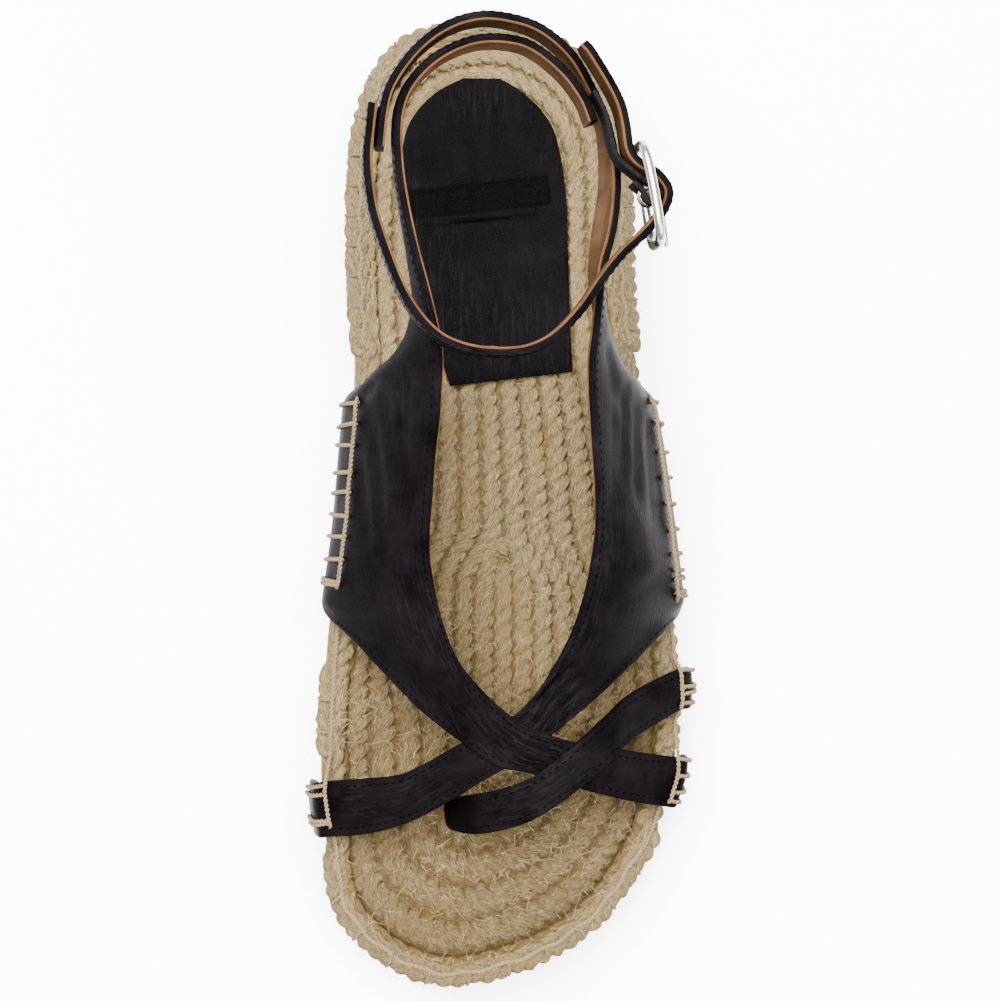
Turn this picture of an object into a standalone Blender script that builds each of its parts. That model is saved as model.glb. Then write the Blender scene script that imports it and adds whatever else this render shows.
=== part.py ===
"""Jute sandal for a left foot: a coiled jute sole with crossed leather straps and a buckled ankle strap.

Frame: +Z up, heel towards +Y, toe towards -Y, outer (lateral) side towards +X.
The origin is the middle of the flat underside of the rubber outsole. All lengths are in metres.
"""
from collections import namedtuple
from math import atan2, cos, pi, radians, sin, tau

import bmesh
import bpy
import numpy as np
from mathutils import Matrix, Vector

# Overall sizes
SOLE_LENGTH = 0.256
SOLE_WIDTH = 0.100
OUTSOLE_THICKNESS = 0.004
TOE_SPRING = 0.005
JUTE_THICKNESS = 0.020
HEEL_RAISE = 0.005
STRAP_RISE = 0.060
CLEARANCE = 0.0003
CURVE_STEPS = 24
SMOOTH_ANGLE = radians(40)
MERGE_DISTANCE = 0.00001

# Places along the sole, as shares of half its length, where its lifts begin and end
TOE_BEND = -0.58
RAISE_SPAN = (-0.35, 0.50)
CUP_SPAN = (0.0, 0.5)
ARCH_RISE_SPAN = (-0.35, 0.15)
ARCH_FALL_SPAN = (0.2, 0.6)
ARCH_INNER_SHARE = 0.2

# Jute sole
RIM_WIDTH = 0.008
RIM_HEIGHT = 0.0036
KNOTS = 60
KNOT_RELIEF = 0.0009
COIL_ROWS = 6
COIL_RELIEF = 0.0011
SPINE_TOE = 0.062
SPINE_HEEL = 0.038
CUP_DEPTH = 0.0022
ARCH_RISE = 0.0015
OUTSOLE_INSET = 0.0022
OUTSOLE_BEVEL = 0.0008

# Leather
UPPER_WALL = 0.0022
FLANGE_PROUD = 0.0009
FLANGE_DROP = 0.0085
SHOULDER_RISE = 0.0020
SHOULDER_PLACE = 0.85
SHOULDER_PROUD = 0.4
STRAP_CROWN = 0.055
STRAP_COLUMNS = 6
MEDIAL_STATIONS = 63
LATERAL_STATIONS = 68
TOE_STATIONS = 27
ANKLE_STATIONS = 88
BAND_HEIGHT = 0.012
ANKLE_WALL = 0.0022
PAD_THICKNESS = 0.0012
PAD_STATIONS = 14
PAD_COLUMNS = 7

# Buckle and elastic
BUCKLE_LENGTH = 0.024
BUCKLE_HEIGHT = 0.0185
BUCKLE_WIRE = 0.0024
BUCKLE_BOW = 0.0004
BUCKLE_STEPS = 32
BUCKLE_ROUNDNESS = 0.45
BAR_DIAMETER = 0.0020
PRONG_DIAMETER = 0.0016
PRONG_OVERHANG = 0.4
PRONG_EYE_STEPS = 8
PRONG_EYE_START = radians(-160)
PRONG_EYE_SWEEP = radians(250)
PRONG_SLOT = 0.0030
PRONG_SLOT_LENGTH = 0.0075
PRONG_SLOT_DEPTH = 0.0085
PRONG_SLOT_SHIFT = 0.0005
ELASTIC_HEIGHT = 0.009
ELASTIC_THICKNESS = 0.0013
ELASTIC_TURN_STEPS = 9
ELASTIC_TURN_START = radians(20)
ELASTIC_TURN_SWEEP = radians(220)

HALF_LENGTH = SOLE_LENGTH / 2
HALF_WIDTH = SOLE_WIDTH / 2
SEAT_DEPTH = UPPER_WALL + 2 * CLEARANCE - FLANGE_PROUD

# Sole outline, toe to heel: place along as a share of half the length, edges as shares of half the width
Edge = namedtuple("Edge", "along medial lateral")
SOLE_OUTLINE = (
    Edge(-1.00, -0.30, -0.30),
    Edge(-0.965, -0.60, 0.14),
    Edge(-0.90, -0.81, 0.45),
    Edge(-0.84, -0.91, 0.61),
    Edge(-0.72, -0.97, 0.82),
    Edge(-0.58, -1.00, 0.95),
    Edge(-0.43, -0.99, 0.99),
    Edge(-0.25, -0.955, 0.96),
    Edge(-0.06, -0.89, 0.90),
    Edge(0.12, -0.85, 0.83),
    Edge(0.28, -0.82, 0.75),
    Edge(0.46, -0.84, 0.70),
    Edge(0.62, -0.845, 0.695),
    Edge(0.77, -0.81, 0.66),
    Edge(0.88, -0.71, 0.51),
    Edge(0.96, -0.51, 0.28),
    Edge(1.00, -0.07, -0.07),
)

# Side and rim of the jute: inset as a share of the rim's width, height as a share of the side,
# knot depth share
Profile = namedtuple("Profile", "inset height knot")
JUTE_SIDE = (
    Profile(0.22, 0.00, 0.0),
    Profile(0.06, 0.10, 0.6),
    Profile(0.00, 0.28, 1.0),
    Profile(0.13, 0.46, 0.2),
    Profile(0.00, 0.66, 1.0),
    Profile(0.14, 0.88, 0.8),
    Profile(0.36, 1.00, 0.5),
    Profile(0.56, 0.94, 0.0),
    Profile(0.78, 0.98, 0.0),
    Profile(1.02, 0.84, 0.0),
)

# Stretches of rim that the leather wraps: side (-1 medial, 1 lateral), first and last place along
Seat = namedtuple("Seat", "side first last")
SEATS = (
    Seat(-1, -0.33, 0.30),
    Seat(-1, -0.735, -0.53),
    Seat(1, -0.33, 0.30),
    Seat(1, -0.47, -0.305),
    Seat(1, -0.68, -0.49),
)
SEAT_RAMP = 0.03
SEAT_FADE = (0.9, 0.4)

# Strap sections: across as a share of the sole's edge there, along as a share of half the length,
# lift as a share of the strap rise above the rim, and how far the lower edge wraps the rim
Row = namedtuple("Row", "top_across top_along top_lift low_across low_along low_lift wrap")
EDGE_SPAN = (-0.75, 0.70)
MEDIAL_STRAP = (
    Row(1.02, -0.53, -0.13, 1.02, -0.635, -0.13, 0),
    Row(1.00, -0.53, 0.015, 1.00, -0.635, 0.015, 0),
    Row(0.90, -0.525, 0.08, 0.93, -0.63, 0.07, 0),
    Row(0.62, -0.505, 0.235, 0.68, -0.61, 0.205, 0),
    Row(0.40, -0.49, 0.33, 0.42, -0.585, 0.28, 0),
    Row(0.21, -0.47, 0.395, 0.12, -0.55, 0.345, 0),
    Row(0.00, -0.43, 0.445, -0.08, -0.53, 0.38, 0),
    Row(-0.26, -0.33, 0.515, -0.27, -0.48, 0.375, 0),
    Row(-0.41, -0.21, 0.63, -0.47, -0.42, 0.36, 0),
    Row(-0.48, -0.13, 0.68, -0.67, -0.345, 0.30, 0),
    Row(-0.51, -0.05, 0.74, -0.86, -0.27, 0.18, 0.10),
    Row(-0.51, 0.02, 0.78, -1.00, -0.20, 0.00, 1),
    Row(-0.51, 0.09, 0.82, -1.00, -0.10, 0.00, 1),
    Row(-0.50, 0.16, 0.85, -1.00, 0.00, 0.00, 1),
    Row(-0.50, 0.22, 0.86, -1.00, 0.10, 0.00, 1),
    Row(-0.50, 0.27, 0.87, -1.00, 0.19, 0.00, 1),
    Row(-0.52, 0.31, 0.88, -0.86, 0.245, 0.15, 0.10),
    Row(-0.555, 0.36, 0.885, -0.70, 0.30, 0.33, 0),
    Row(-0.60, 0.42, 0.90, -0.63, 0.37, 0.55, 0),
    Row(-0.655, 0.49, 0.92, -0.66, 0.46, 0.70, 0),
    Row(-0.70, 0.56, 0.935, -0.70, 0.55, 0.735, 0),
    Row(-0.738, 0.64, 0.94, -0.738, 0.64, 0.74, 0),
    Row(-0.748, 0.72, 0.94, -0.748, 0.72, 0.74, 0),
    Row(-0.68, 0.785, 0.94, -0.68, 0.785, 0.74, 0),
    Row(-0.52, 0.84, 0.94, -0.52, 0.84, 0.74, 0),
    Row(-0.31, 0.873, 0.94, -0.31, 0.873, 0.74, 0),
    Row(-0.10, 0.878, 0.94, -0.10, 0.878, 0.74, 0),
    Row(0.10, 0.86, 0.94, 0.10, 0.86, 0.74, 0),
    Row(0.31, 0.815, 0.94, 0.31, 0.815, 0.74, 0),
    Row(0.45, 0.765, 0.94, 0.45, 0.765, 0.74, 0),
    Row(0.52, 0.72, 0.94, 0.52, 0.72, 0.74, 0),
)
LATERAL_STRAP = (
    Row(-1.02, -0.575, -0.13, -1.02, -0.69, -0.13, 0),
    Row(-1.00, -0.575, 0.015, -1.00, -0.69, 0.015, 0),
    Row(-0.93, -0.57, 0.075, -0.95, -0.685, 0.07, 0),
    Row(-0.73, -0.56, 0.19, -0.75, -0.675, 0.165, 0),
    Row(-0.53, -0.545, 0.28, -0.53, -0.65, 0.24, 0),
    Row(-0.28, -0.49, 0.345, -0.31, -0.605, 0.295, 0),
    Row(-0.12, -0.455, 0.38, -0.15, -0.565, 0.33, 0),
    Row(0.02, -0.425, 0.415, 0.05, -0.52, 0.36, 0),
    Row(0.13, -0.38, 0.45, 0.23, -0.465, 0.385, 0),
    Row(0.23, -0.32, 0.49, 0.41, -0.41, 0.37, 0),
    Row(0.32, -0.25, 0.56, 0.59, -0.35, 0.34, 0),
    Row(0.39, -0.17, 0.63, 0.75, -0.30, 0.25, 0),
    Row(0.43, -0.10, 0.68, 0.87, -0.26, 0.17, 0.10),
    Row(0.45, -0.04, 0.74, 1.00, -0.20, 0.00, 1),
    Row(0.455, 0.03, 0.79, 1.00, -0.10, 0.00, 1),
    Row(0.45, 0.09, 0.82, 1.00, 0.00, 0.00, 1),
    Row(0.45, 0.15, 0.84, 1.00, 0.10, 0.00, 1),
    Row(0.455, 0.21, 0.85, 1.00, 0.19, 0.00, 1),
    Row(0.475, 0.27, 0.855, 0.86, 0.245, 0.15, 0.10),
    Row(0.51, 0.32, 0.86, 0.73, 0.30, 0.30, 0),
    Row(0.545, 0.375, 0.86, 0.62, 0.35, 0.50, 0),
    Row(0.59, 0.44, 0.85, 0.56, 0.43, 0.62, 0),
    Row(0.67, 0.51, 0.825, 0.58, 0.51, 0.625, 0),
    Row(0.71, 0.59, 0.80, 0.63, 0.59, 0.60, 0),
    Row(0.71, 0.65, 0.775, 0.65, 0.65, 0.575, 0),
    Row(0.655, 0.725, 0.77, 0.635, 0.725, 0.57, 0),
    Row(0.545, 0.785, 0.81, 0.535, 0.785, 0.61, 0),
    Row(0.38, 0.848, 0.89, 0.375, 0.848, 0.69, 0),
    Row(0.17, 0.892, 0.94, 0.17, 0.892, 0.74, 0),
    Row(-0.03, 0.913, 0.955, -0.03, 0.913, 0.755, 0),
    Row(-0.24, 0.92, 0.96, -0.24, 0.92, 0.76, 0),
    Row(-0.45, 0.90, 0.96, -0.45, 0.90, 0.76, 0),
    Row(-0.64, 0.853, 0.96, -0.64, 0.853, 0.76, 0),
    Row(-0.79, 0.784, 0.96, -0.79, 0.784, 0.76, 0),
    Row(-0.84, 0.72, 0.96, -0.84, 0.72, 0.76, 0),
    Row(-0.85, 0.665, 0.96, -0.85, 0.665, 0.76, 0),
)
TOE_STRAP = (
    Row(1.02, -0.345, -0.13, 1.02, -0.43, -0.13, 0),
    Row(1.00, -0.345, 0.015, 1.00, -0.43, 0.015, 0),
    Row(0.90, -0.35, 0.085, 0.92, -0.435, 0.08, 0),
    Row(0.66, -0.39, 0.225, 0.67, -0.485, 0.21, 0),
    Row(0.52, -0.43, 0.315, 0.54, -0.53, 0.285, 0),
    Row(0.38, -0.475, 0.365, 0.40, -0.575, 0.325, 0),
    Row(0.25, -0.515, 0.385, 0.27, -0.61, 0.345, 0),
    Row(0.12, -0.55, 0.38, 0.14, -0.64, 0.335, 0),
    Row(-0.05, -0.578, 0.325, -0.02, -0.662, 0.29, 0),
    Row(-0.19, -0.592, 0.24, -0.17, -0.675, 0.215, 0),
    Row(-0.285, -0.605, 0.09, -0.28, -0.675, 0.085, 0),
    Row(-0.31, -0.612, -0.04, -0.31, -0.672, -0.04, 0),
)

# Ankle strap: its outer face's top edge before the buckle and after it, from the medial seam round the front
Spot = namedtuple("Spot", "across along lift")
ANKLE_FRONT = (
    Spot(-0.90, 0.745, 0.98),
    Spot(-0.915, 0.70, 0.985),
    Spot(-0.92, 0.635, 1.00),
    Spot(-0.89, 0.55, 1.03),
    Spot(-0.835, 0.48, 1.06),
    Spot(-0.745, 0.395, 1.09),
    Spot(-0.65, 0.34, 1.10),
    Spot(-0.53, 0.30, 1.105),
    Spot(-0.405, 0.28, 1.105),
    Spot(-0.27, 0.27, 1.105),
    Spot(-0.12, 0.268, 1.105),
    Spot(0.03, 0.275, 1.10),
    Spot(0.20, 0.30, 1.10),
    Spot(0.38, 0.35, 1.10),
    Spot(0.54, 0.41, 1.09),
    Spot(0.68, 0.455, 1.075),
)
ANKLE_TAIL = (
    Spot(0.735, 0.705, 1.05),
    Spot(0.70, 0.745, 1.045),
    Spot(0.63, 0.785, 1.04),
    Spot(0.51, 0.838, 1.035),
    Spot(0.44, 0.866, 1.03),
)

# The strap's way through the buckle: place along the frame as a share of its half length, and how far
# the outer face stands outside the frame's middle plane as a share of the strap's wall
Weave = namedtuple("Weave", "along out")
BUCKLE_WEAVE = (
    Weave(-0.80, -1.00),
    Weave(-0.42, 1.50),
    Weave(0.00, 2.55),
    Weave(0.42, 1.60),
    Weave(0.72, -0.25),
    Weave(0.98, -0.85),
)

# Heel pad outline: place along as a share of half the length, edges as shares of half the width
HEEL_PAD = (
    Edge(0.866, -0.22, -0.02),
    Edge(0.84, -0.345, 0.09),
    Edge(0.80, -0.455, 0.20),
    Edge(0.745, -0.525, 0.275),
    Edge(0.64, -0.55, 0.32),
    Edge(0.50, -0.475, 0.335),
    Edge(0.37, -0.385, 0.345),
    Edge(0.25, -0.285, 0.36),
)
PAD_SLANT = 0.03

# Elastic: its middle line where it is sewn to the medial strap's end, and how far it sags beside the buckle
ELASTIC_SEAM = (
    Spot(0.496, 0.773, 0.88),
    Spot(0.578, 0.728, 0.885),
)
ELASTIC_SAG = -0.0035

# The elastic's spots by the centre bar, as shares of its radius there: along the frame and out of it
ELASTIC_NEAR = (3.7, -2.2)
ELASTIC_END = (2.6, 0.7)
ELASTIC_TUCK = 1.85

BUCKLE_CENTRE = Spot(0.855, 0.573, 0.98)
BUCKLE_TURN = radians(10.5)

# Finishes: colour, roughness, metallic
Finish = namedtuple("Finish", "colour roughness metallic")
RUBBER = Finish((0.42, 0.33, 0.20, 1), 0.85, 0.0)
JUTE = Finish((0.40, 0.30, 0.16, 1), 0.95, 0.0)
LEATHER = Finish((0.018, 0.015, 0.018, 1), 0.45, 0.0)
PAD_LEATHER = Finish((0.022, 0.019, 0.022, 1), 0.55, 0.0)
ELASTIC = Finish((0.012, 0.012, 0.013, 1), 0.80, 0.0)
METAL = Finish((0.70, 0.69, 0.66, 1), 0.25, 1.0)

COLLECTION = "jute_sandal"
CUTTERS = "cutters"


def clear_scene():
    """Removes every object that is already in the scene."""
    for item in list(bpy.data.objects):
        bpy.data.objects.remove(item, do_unlink=True)


def make_collection(name):
    group = bpy.data.collections.new(name)
    bpy.context.scene.collection.children.link(group)
    return group


def make_material(name, finish):
    material = bpy.data.materials.new(name)
    material.use_nodes = True
    shader = material.node_tree.nodes["Principled BSDF"]
    shader.inputs["Base Color"].default_value = finish.colour
    shader.inputs["Roughness"].default_value = finish.roughness
    shader.inputs["Metallic"].default_value = finish.metallic
    return material


def make_object(name, bm, group, material=None):
    """Turns a bmesh into an object of a collection, shaded smooth with sharp edges."""
    mesh = bpy.data.meshes.new(name)
    bm.to_mesh(mesh)
    bm.free()
    mesh.shade_smooth()
    mesh.set_sharp_from_angle(angle=SMOOTH_ANGLE)
    item = bpy.data.objects.new(name, mesh)
    group.objects.link(item)
    if material:
        mesh.materials.append(material)
    return item


def smooth_step(value, low, high):
    share = min(max((value - low) / (high - low), 0.0), 1.0)
    return share * share * (3 - 2 * share)


def spline(knots, count, before=None, after=None):
    """Even samples of a Catmull-Rom curve through knots, with the points that lead in and out if given."""
    knots = np.array(knots, dtype=float)
    first = 2 * knots[0] - knots[1] if before is None else before
    last = 2 * knots[-1] - knots[-2] if after is None else after
    padded = np.vstack([first, knots, last])
    fine = []
    for start in range(len(padded) - 3):
        a, b, c, d = padded[start:start + 4]
        for step in range(CURVE_STEPS):
            t = step / CURVE_STEPS
            fine.append(0.5 * (2 * b + (c - a) * t + (2 * a - 5 * b + 4 * c - d) * t ** 2
                               + (3 * b - a - 3 * c + d) * t ** 3))
    fine.append(padded[-2])
    fine = np.array(fine)
    lengths = np.concatenate([[0], np.cumsum(np.linalg.norm(np.diff(fine, axis=0), axis=1))])
    places = np.linspace(0, lengths[-1], count)
    return np.array([np.interp(places, lengths, fine[:, column]) for column in range(fine.shape[1])]).T


def side_edge(side):
    """One edge of the sole, from toe tip to heel, as even points."""
    lateral = [(row.lateral * HALF_WIDTH, row.along * HALF_LENGTH) for row in SOLE_OUTLINE]
    medial = [(row.medial * HALF_WIDTH, row.along * HALF_LENGTH) for row in SOLE_OUTLINE]
    knots, other = (lateral, medial) if side > 0 else (medial, lateral)
    return spline(knots, KNOTS + 1, before=other[1], after=other[-2])


EDGE_POINTS = {side: side_edge(side) for side in (-1, 1)}


def edge_at(side, along):
    """The sole's edge at a place along it."""
    points = EDGE_POINTS[side]
    return float(np.interp(along * HALF_LENGTH, points[:, 1], points[:, 0]))


def ground(along):
    """Height of the sole's underside, which lifts only at the toe."""
    return TOE_SPRING * max(0.0, (TOE_BEND - along) / (1 + TOE_BEND)) ** 2


def jute_bottom(along):
    return ground(along) + OUTSOLE_THICKNESS + CLEARANCE


def rim_top(along):
    return jute_bottom(along) + JUTE_THICKNESS + HEEL_RAISE * smooth_step(along, *RAISE_SPAN)


def spine_at(along):
    """Middle line of the coil, which ends short of the toe and the heel."""
    first = -1 + SPINE_TOE / HALF_LENGTH
    last = 1 - SPINE_HEEL / HALF_LENGTH
    place = min(max(along, first), last)
    middle = 0.5 * (edge_at(-1, place) + edge_at(1, place))
    return Vector((middle, place * HALF_LENGTH, 0))


def footbed_height(x, y):
    """Height of the valleys between the coil's rows: cupped at the heel, with a raised arch."""
    along = y / HALF_LENGTH
    spine = spine_at(along)
    half = 0.5 * (edge_at(1, spine.y / HALF_LENGTH) - edge_at(-1, spine.y / HALF_LENGTH)) - RIM_WIDTH
    end = SPINE_HEEL - RIM_WIDTH if y > spine.y else SPINE_TOE - RIM_WIDTH
    reach = min(1.0, ((x - spine.x) / half) ** 2 + ((y - spine.y) / end) ** 2)
    cup = CUP_DEPTH * smooth_step(along, *CUP_SPAN) * (1 - reach)
    arch = ARCH_RISE * smooth_step(along, *ARCH_RISE_SPAN) * (1 - smooth_step(along, *ARCH_FALL_SPAN))
    medial = smooth_step(spine.x - x, ARCH_INNER_SHARE * half, half)
    return rim_top(along) - RIM_HEIGHT - COIL_RELIEF - cup + arch * medial


def seat_share(side, along):
    """How far the rim is pressed in by the leather that wraps it there."""
    share = 0.0
    for seat in SEATS:
        if seat.side == side:
            rise = smooth_step(along, seat.first - SEAT_RAMP, seat.first)
            fall = 1 - smooth_step(along, seat.last, seat.last + SEAT_RAMP)
            share = max(share, min(rise, fall))
    return share


def sole_loop():
    """Stations round the sole: side, edge point and the spine point that it faces."""
    stations = []
    for side, order in ((1, range(KNOTS)), (-1, range(KNOTS, 0, -1))):
        for index in order:
            edge = EDGE_POINTS[side][index]
            middle = 0.5 * (EDGE_POINTS[1][index][1] + EDGE_POINTS[-1][index][1])
            stations.append((side, index, Vector((edge[0], edge[1], 0)), spine_at(middle / HALF_LENGTH)))
    return stations


def grid_surface(rows, columns, place, wrap=False):
    """A grid whose vertices are put in place by row and column; wrap closes it along the columns."""
    bm = bmesh.new()
    bmesh.ops.create_grid(bm, x_segments=columns - 1, y_segments=rows - 1, size=1)
    bm.verts.ensure_lookup_table()
    for index, vert in enumerate(bm.verts):
        row, column = divmod(index, columns)
        vert.co = place(row, column % (columns - 1) if wrap else column)
    if wrap:
        bmesh.ops.remove_doubles(bm, verts=bm.verts, dist=MERGE_DISTANCE)
    return bm


def make_sole_body(name, rings, group, material):
    """A closed body from rings round the sole, whose first and last lie on the spine."""
    stations = sole_loop()

    def place(row, column):
        return rings(row, stations[column])

    bm = grid_surface(rings.count, len(stations) + 1, place, wrap=True)
    bmesh.ops.recalc_face_normals(bm, faces=bm.faces)
    return make_object(name, bm, group, material)


class OutsoleRings:
    """Rings of the rubber outsole: a flat slab with softened edges."""
    shape = ((0.0, 0.0), (1.0, 0.0), (1.0, 0.3), (1.0, 1.0), (0.0, 1.0))
    count = len(shape)

    def __call__(self, row, station):
        edge, spine = station[2:]
        reach, height = self.shape[row]
        inset = OUTSOLE_INSET + (OUTSOLE_BEVEL if row == 1 else 0)
        away = edge - spine
        spot = spine + away * reach * (1 - inset / away.length)
        lift = ground(spot.y / HALF_LENGTH)
        return Vector((spot.x, spot.y, lift + height * OUTSOLE_THICKNESS))


class JuteRings:
    """Rings of the jute sole: underside, knotted side, plaited rim, then coil rows to the spine."""
    count = 1 + len(JUTE_SIDE) + 2 * COIL_ROWS

    def __call__(self, row, station):
        side, index, edge, spine = station
        away = edge - spine
        if row == 0:
            return Vector((spine.x, spine.y, jute_bottom(spine.y / HALF_LENGTH)))
        if row <= len(JUTE_SIDE):
            return self.side_point(JUTE_SIDE[row - 1], side, index, edge, away)
        return self.row_point(row - len(JUTE_SIDE), edge, spine, away)

    def side_point(self, profile, side, index, edge, away):
        along = edge.y / HALF_LENGTH
        knot = KNOT_RELIEF * profile.knot * (index % 2)
        outer = smooth_step(profile.inset, *SEAT_FADE)
        inset = profile.inset * RIM_WIDTH + knot + SEAT_DEPTH * seat_share(side, along) * outer
        spot = edge - away.normalized() * inset
        low = jute_bottom(along)
        height = low + profile.height * (rim_top(along) - low) - 0.5 * knot * (profile.height > 0.8)
        return Vector((spot.x, spot.y, height))

    def row_point(self, step, edge, spine, away):
        share = step / (2 * COIL_ROWS)
        inner = spine + away * (1 - RIM_WIDTH / away.length)
        spot = inner.lerp(spine, share)
        crown = COIL_RELIEF if step % 2 else 0.0
        return Vector((spot.x, spot.y, footbed_height(spot.x, spot.y) + crown))


def strap_point(across, along, lift):
    """A point of a strap's outer face, from its shares."""
    side = 1 if across > 0 else -1
    held = min(max(along, EDGE_SPAN[0]), EDGE_SPAN[1])
    x = abs(across) * edge_at(side, held)
    return Vector((x, along * HALF_LENGTH, rim_top(along) + lift * STRAP_RISE))


def strap_section(values):
    """Top edge, rim shoulder and lower edge of a strap at one station."""
    row = Row(*values)
    top = strap_point(row.top_across, row.top_along, row.top_lift)
    low = strap_point(row.low_across, row.low_along, row.low_lift)
    shoulder = top.lerp(low, SHOULDER_PLACE)
    wrap = min(max(row.wrap, 0.0), 1.0)
    if wrap > 0:
        side = 1 if row.low_across > 0 else -1
        along = row.low_along
        x = edge_at(side, along)
        height = rim_top(along)
        shoulder_x = x + side * SHOULDER_PROUD * FLANGE_PROUD
        rim_shoulder = Vector((shoulder_x, along * HALF_LENGTH, height + SHOULDER_RISE))
        rim_low = Vector((x + side * FLANGE_PROUD, along * HALF_LENGTH, height - FLANGE_DROP))
        shoulder = shoulder.lerp(rim_shoulder, wrap)
        low = low.lerp(rim_low, wrap)
    return top, shoulder, low


def make_strap(name, table, stations, hand, group, material):
    """A leather strap lofted through a table of sections, with its wall inside the outer face."""
    values = spline(table, stations)
    sections = [strap_section(row) for row in values]
    across = STRAP_COLUMNS

    def place(row, column):
        top, shoulder, low = sections[row]
        before = sections[max(row - 1, 0)]
        after = sections[min(row + 1, stations - 1)]
        if column == across - 1:
            return low
        share = column / (across - 2)
        spot = top.lerp(shoulder, share)
        travel = (after[0] + after[1]) - (before[0] + before[1])
        outward = travel.cross(shoulder - top).normalized() * hand
        crown = STRAP_CROWN * (shoulder - top).length
        return spot + outward * crown * sin(pi * share)

    bm = grid_surface(stations, across, place)
    turn_faces(bm, hand, sections)
    item = make_object(name, bm, group, material)
    wall = item.modifiers.new("wall", "SOLIDIFY")
    wall.thickness = UPPER_WALL
    wall.offset = -1
    wall.use_even_offset = True
    return item


def turn_faces(bm, hand, sections):
    """Turns the grid's faces so that they all look outwards."""
    bm.faces.ensure_lookup_table()
    bm.normal_update()
    top, shoulder, low = sections[0]
    travel = sections[1][0] - top
    outward = travel.cross(low - top) * hand
    if bm.faces[0].normal.dot(outward) < 0:
        bmesh.ops.reverse_faces(bm, faces=bm.faces)


def join(item, other, group):
    """Unites another solid with an object and keeps the other as a hidden cutter."""
    union = item.modifiers.new("join " + other.name, "BOOLEAN")
    union.operation = "UNION"
    union.solver = "EXACT"
    union.object = other
    hide_cutter(other, group)


def cut(item, other, group):
    """Cuts another solid from an object and keeps the other as a hidden cutter."""
    bore = item.modifiers.new("cut " + other.name, "BOOLEAN")
    bore.operation = "DIFFERENCE"
    bore.solver = "EXACT"
    bore.object = other
    hide_cutter(other, group)


def hide_cutter(item, group):
    for owner in list(item.users_collection):
        owner.objects.unlink(item)
    group.objects.link(item)
    item.hide_render = True
    item.display_type = "WIRE"


def make_upper(parts, cutters, material):
    """The three crossed straps, joined where they cross."""
    upper = make_strap("upper", MEDIAL_STRAP, MEDIAL_STATIONS, 1, parts, material)
    lateral = make_strap("lateral_strap", LATERAL_STRAP, LATERAL_STATIONS, -1, parts, material)
    toe = make_strap("toe_strap", TOE_STRAP, TOE_STATIONS, 1, parts, material)
    join(upper, lateral, cutters)
    join(upper, toe, cutters)
    return upper


def make_heel_pad(parts, material):
    """The leather patch under the heel, which follows the footbed."""
    rows = PAD_STATIONS
    columns = PAD_COLUMNS
    values = spline(HEEL_PAD, rows)

    def place(row, column):
        edge = Edge(*values[row])
        share = column / (columns - 1)
        x = (edge.medial + (edge.lateral - edge.medial) * share) * HALF_WIDTH
        slant = PAD_SLANT * (share - 0.5) if row > rows / 2 else 0
        y = (edge.along + slant) * HALF_LENGTH
        return Vector((x, y, footbed_height(x, y) + COIL_RELIEF + CLEARANCE))

    bm = grid_surface(rows, columns, place)
    bm.normal_update()
    bm.faces.ensure_lookup_table()
    if bm.faces[0].normal.z < 0:
        bmesh.ops.reverse_faces(bm, faces=bm.faces)
    pad = make_object("heel_pad", bm, parts, material)
    wall = pad.modifiers.new("wall", "SOLIDIFY")
    wall.thickness = PAD_THICKNESS
    wall.offset = 1
    return pad


def buckle_frame():
    """The buckle's own frame: X along the strap towards the heel, Y up, Z outwards."""
    centre = strap_point(*BUCKLE_CENTRE)
    backward = Vector((-sin(BUCKLE_TURN), cos(BUCKLE_TURN), 0))
    up = Vector((0, 0, 1))
    frame = Matrix((backward, up, backward.cross(up))).transposed().to_4x4()
    return Matrix.Translation(centre) @ frame


def ankle_path():
    """Top edge of the ankle strap's outer face, from its medial seam to its free tip."""
    frame = buckle_frame()
    half = BUCKLE_LENGTH / 2
    path = [strap_point(*spot) for spot in ANKLE_FRONT]
    for weave in BUCKLE_WEAVE:
        path.append(frame @ Vector((weave.along * half, BAND_HEIGHT / 2, weave.out * ANKLE_WALL)))
    path += [strap_point(*spot) for spot in ANKLE_TAIL]
    return path


def make_ankle_strap(parts, cutters, material):
    """The buckled band, with a hole for the prong."""
    stations = ANKLE_STATIONS
    points = [Vector(row) for row in spline([tuple(spot) for spot in ankle_path()], stations)]
    columns = 2

    def place(row, column):
        return points[row] - Vector((0, 0, BAND_HEIGHT * column / (columns - 1)))

    bm = grid_surface(stations, columns, place)
    bm.normal_update()
    bm.faces.ensure_lookup_table()
    if bm.faces[0].normal.x > 0:
        bmesh.ops.reverse_faces(bm, faces=bm.faces)
    strap = make_object("ankle_strap", bm, parts, material)
    wall = strap.modifiers.new("wall", "SOLIDIFY")
    wall.thickness = ANKLE_WALL
    wall.offset = -1
    wall.use_even_offset = True
    cut(strap, make_prong_hole(cutters), cutters)
    return strap


def make_rod(name, start, end, diameter, segments, group, material=None):
    """A round rod between two points."""
    bm = bmesh.new()
    along = end - start
    bmesh.ops.create_cone(bm, cap_ends=True, segments=segments, radius1=diameter / 2,
                          radius2=diameter / 2, depth=along.length)
    turn = along.to_track_quat("Z", "Y").to_matrix().to_4x4()
    bmesh.ops.transform(bm, matrix=Matrix.Translation((start + end) / 2) @ turn, verts=bm.verts)
    return make_object(name, bm, group, material)


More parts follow.
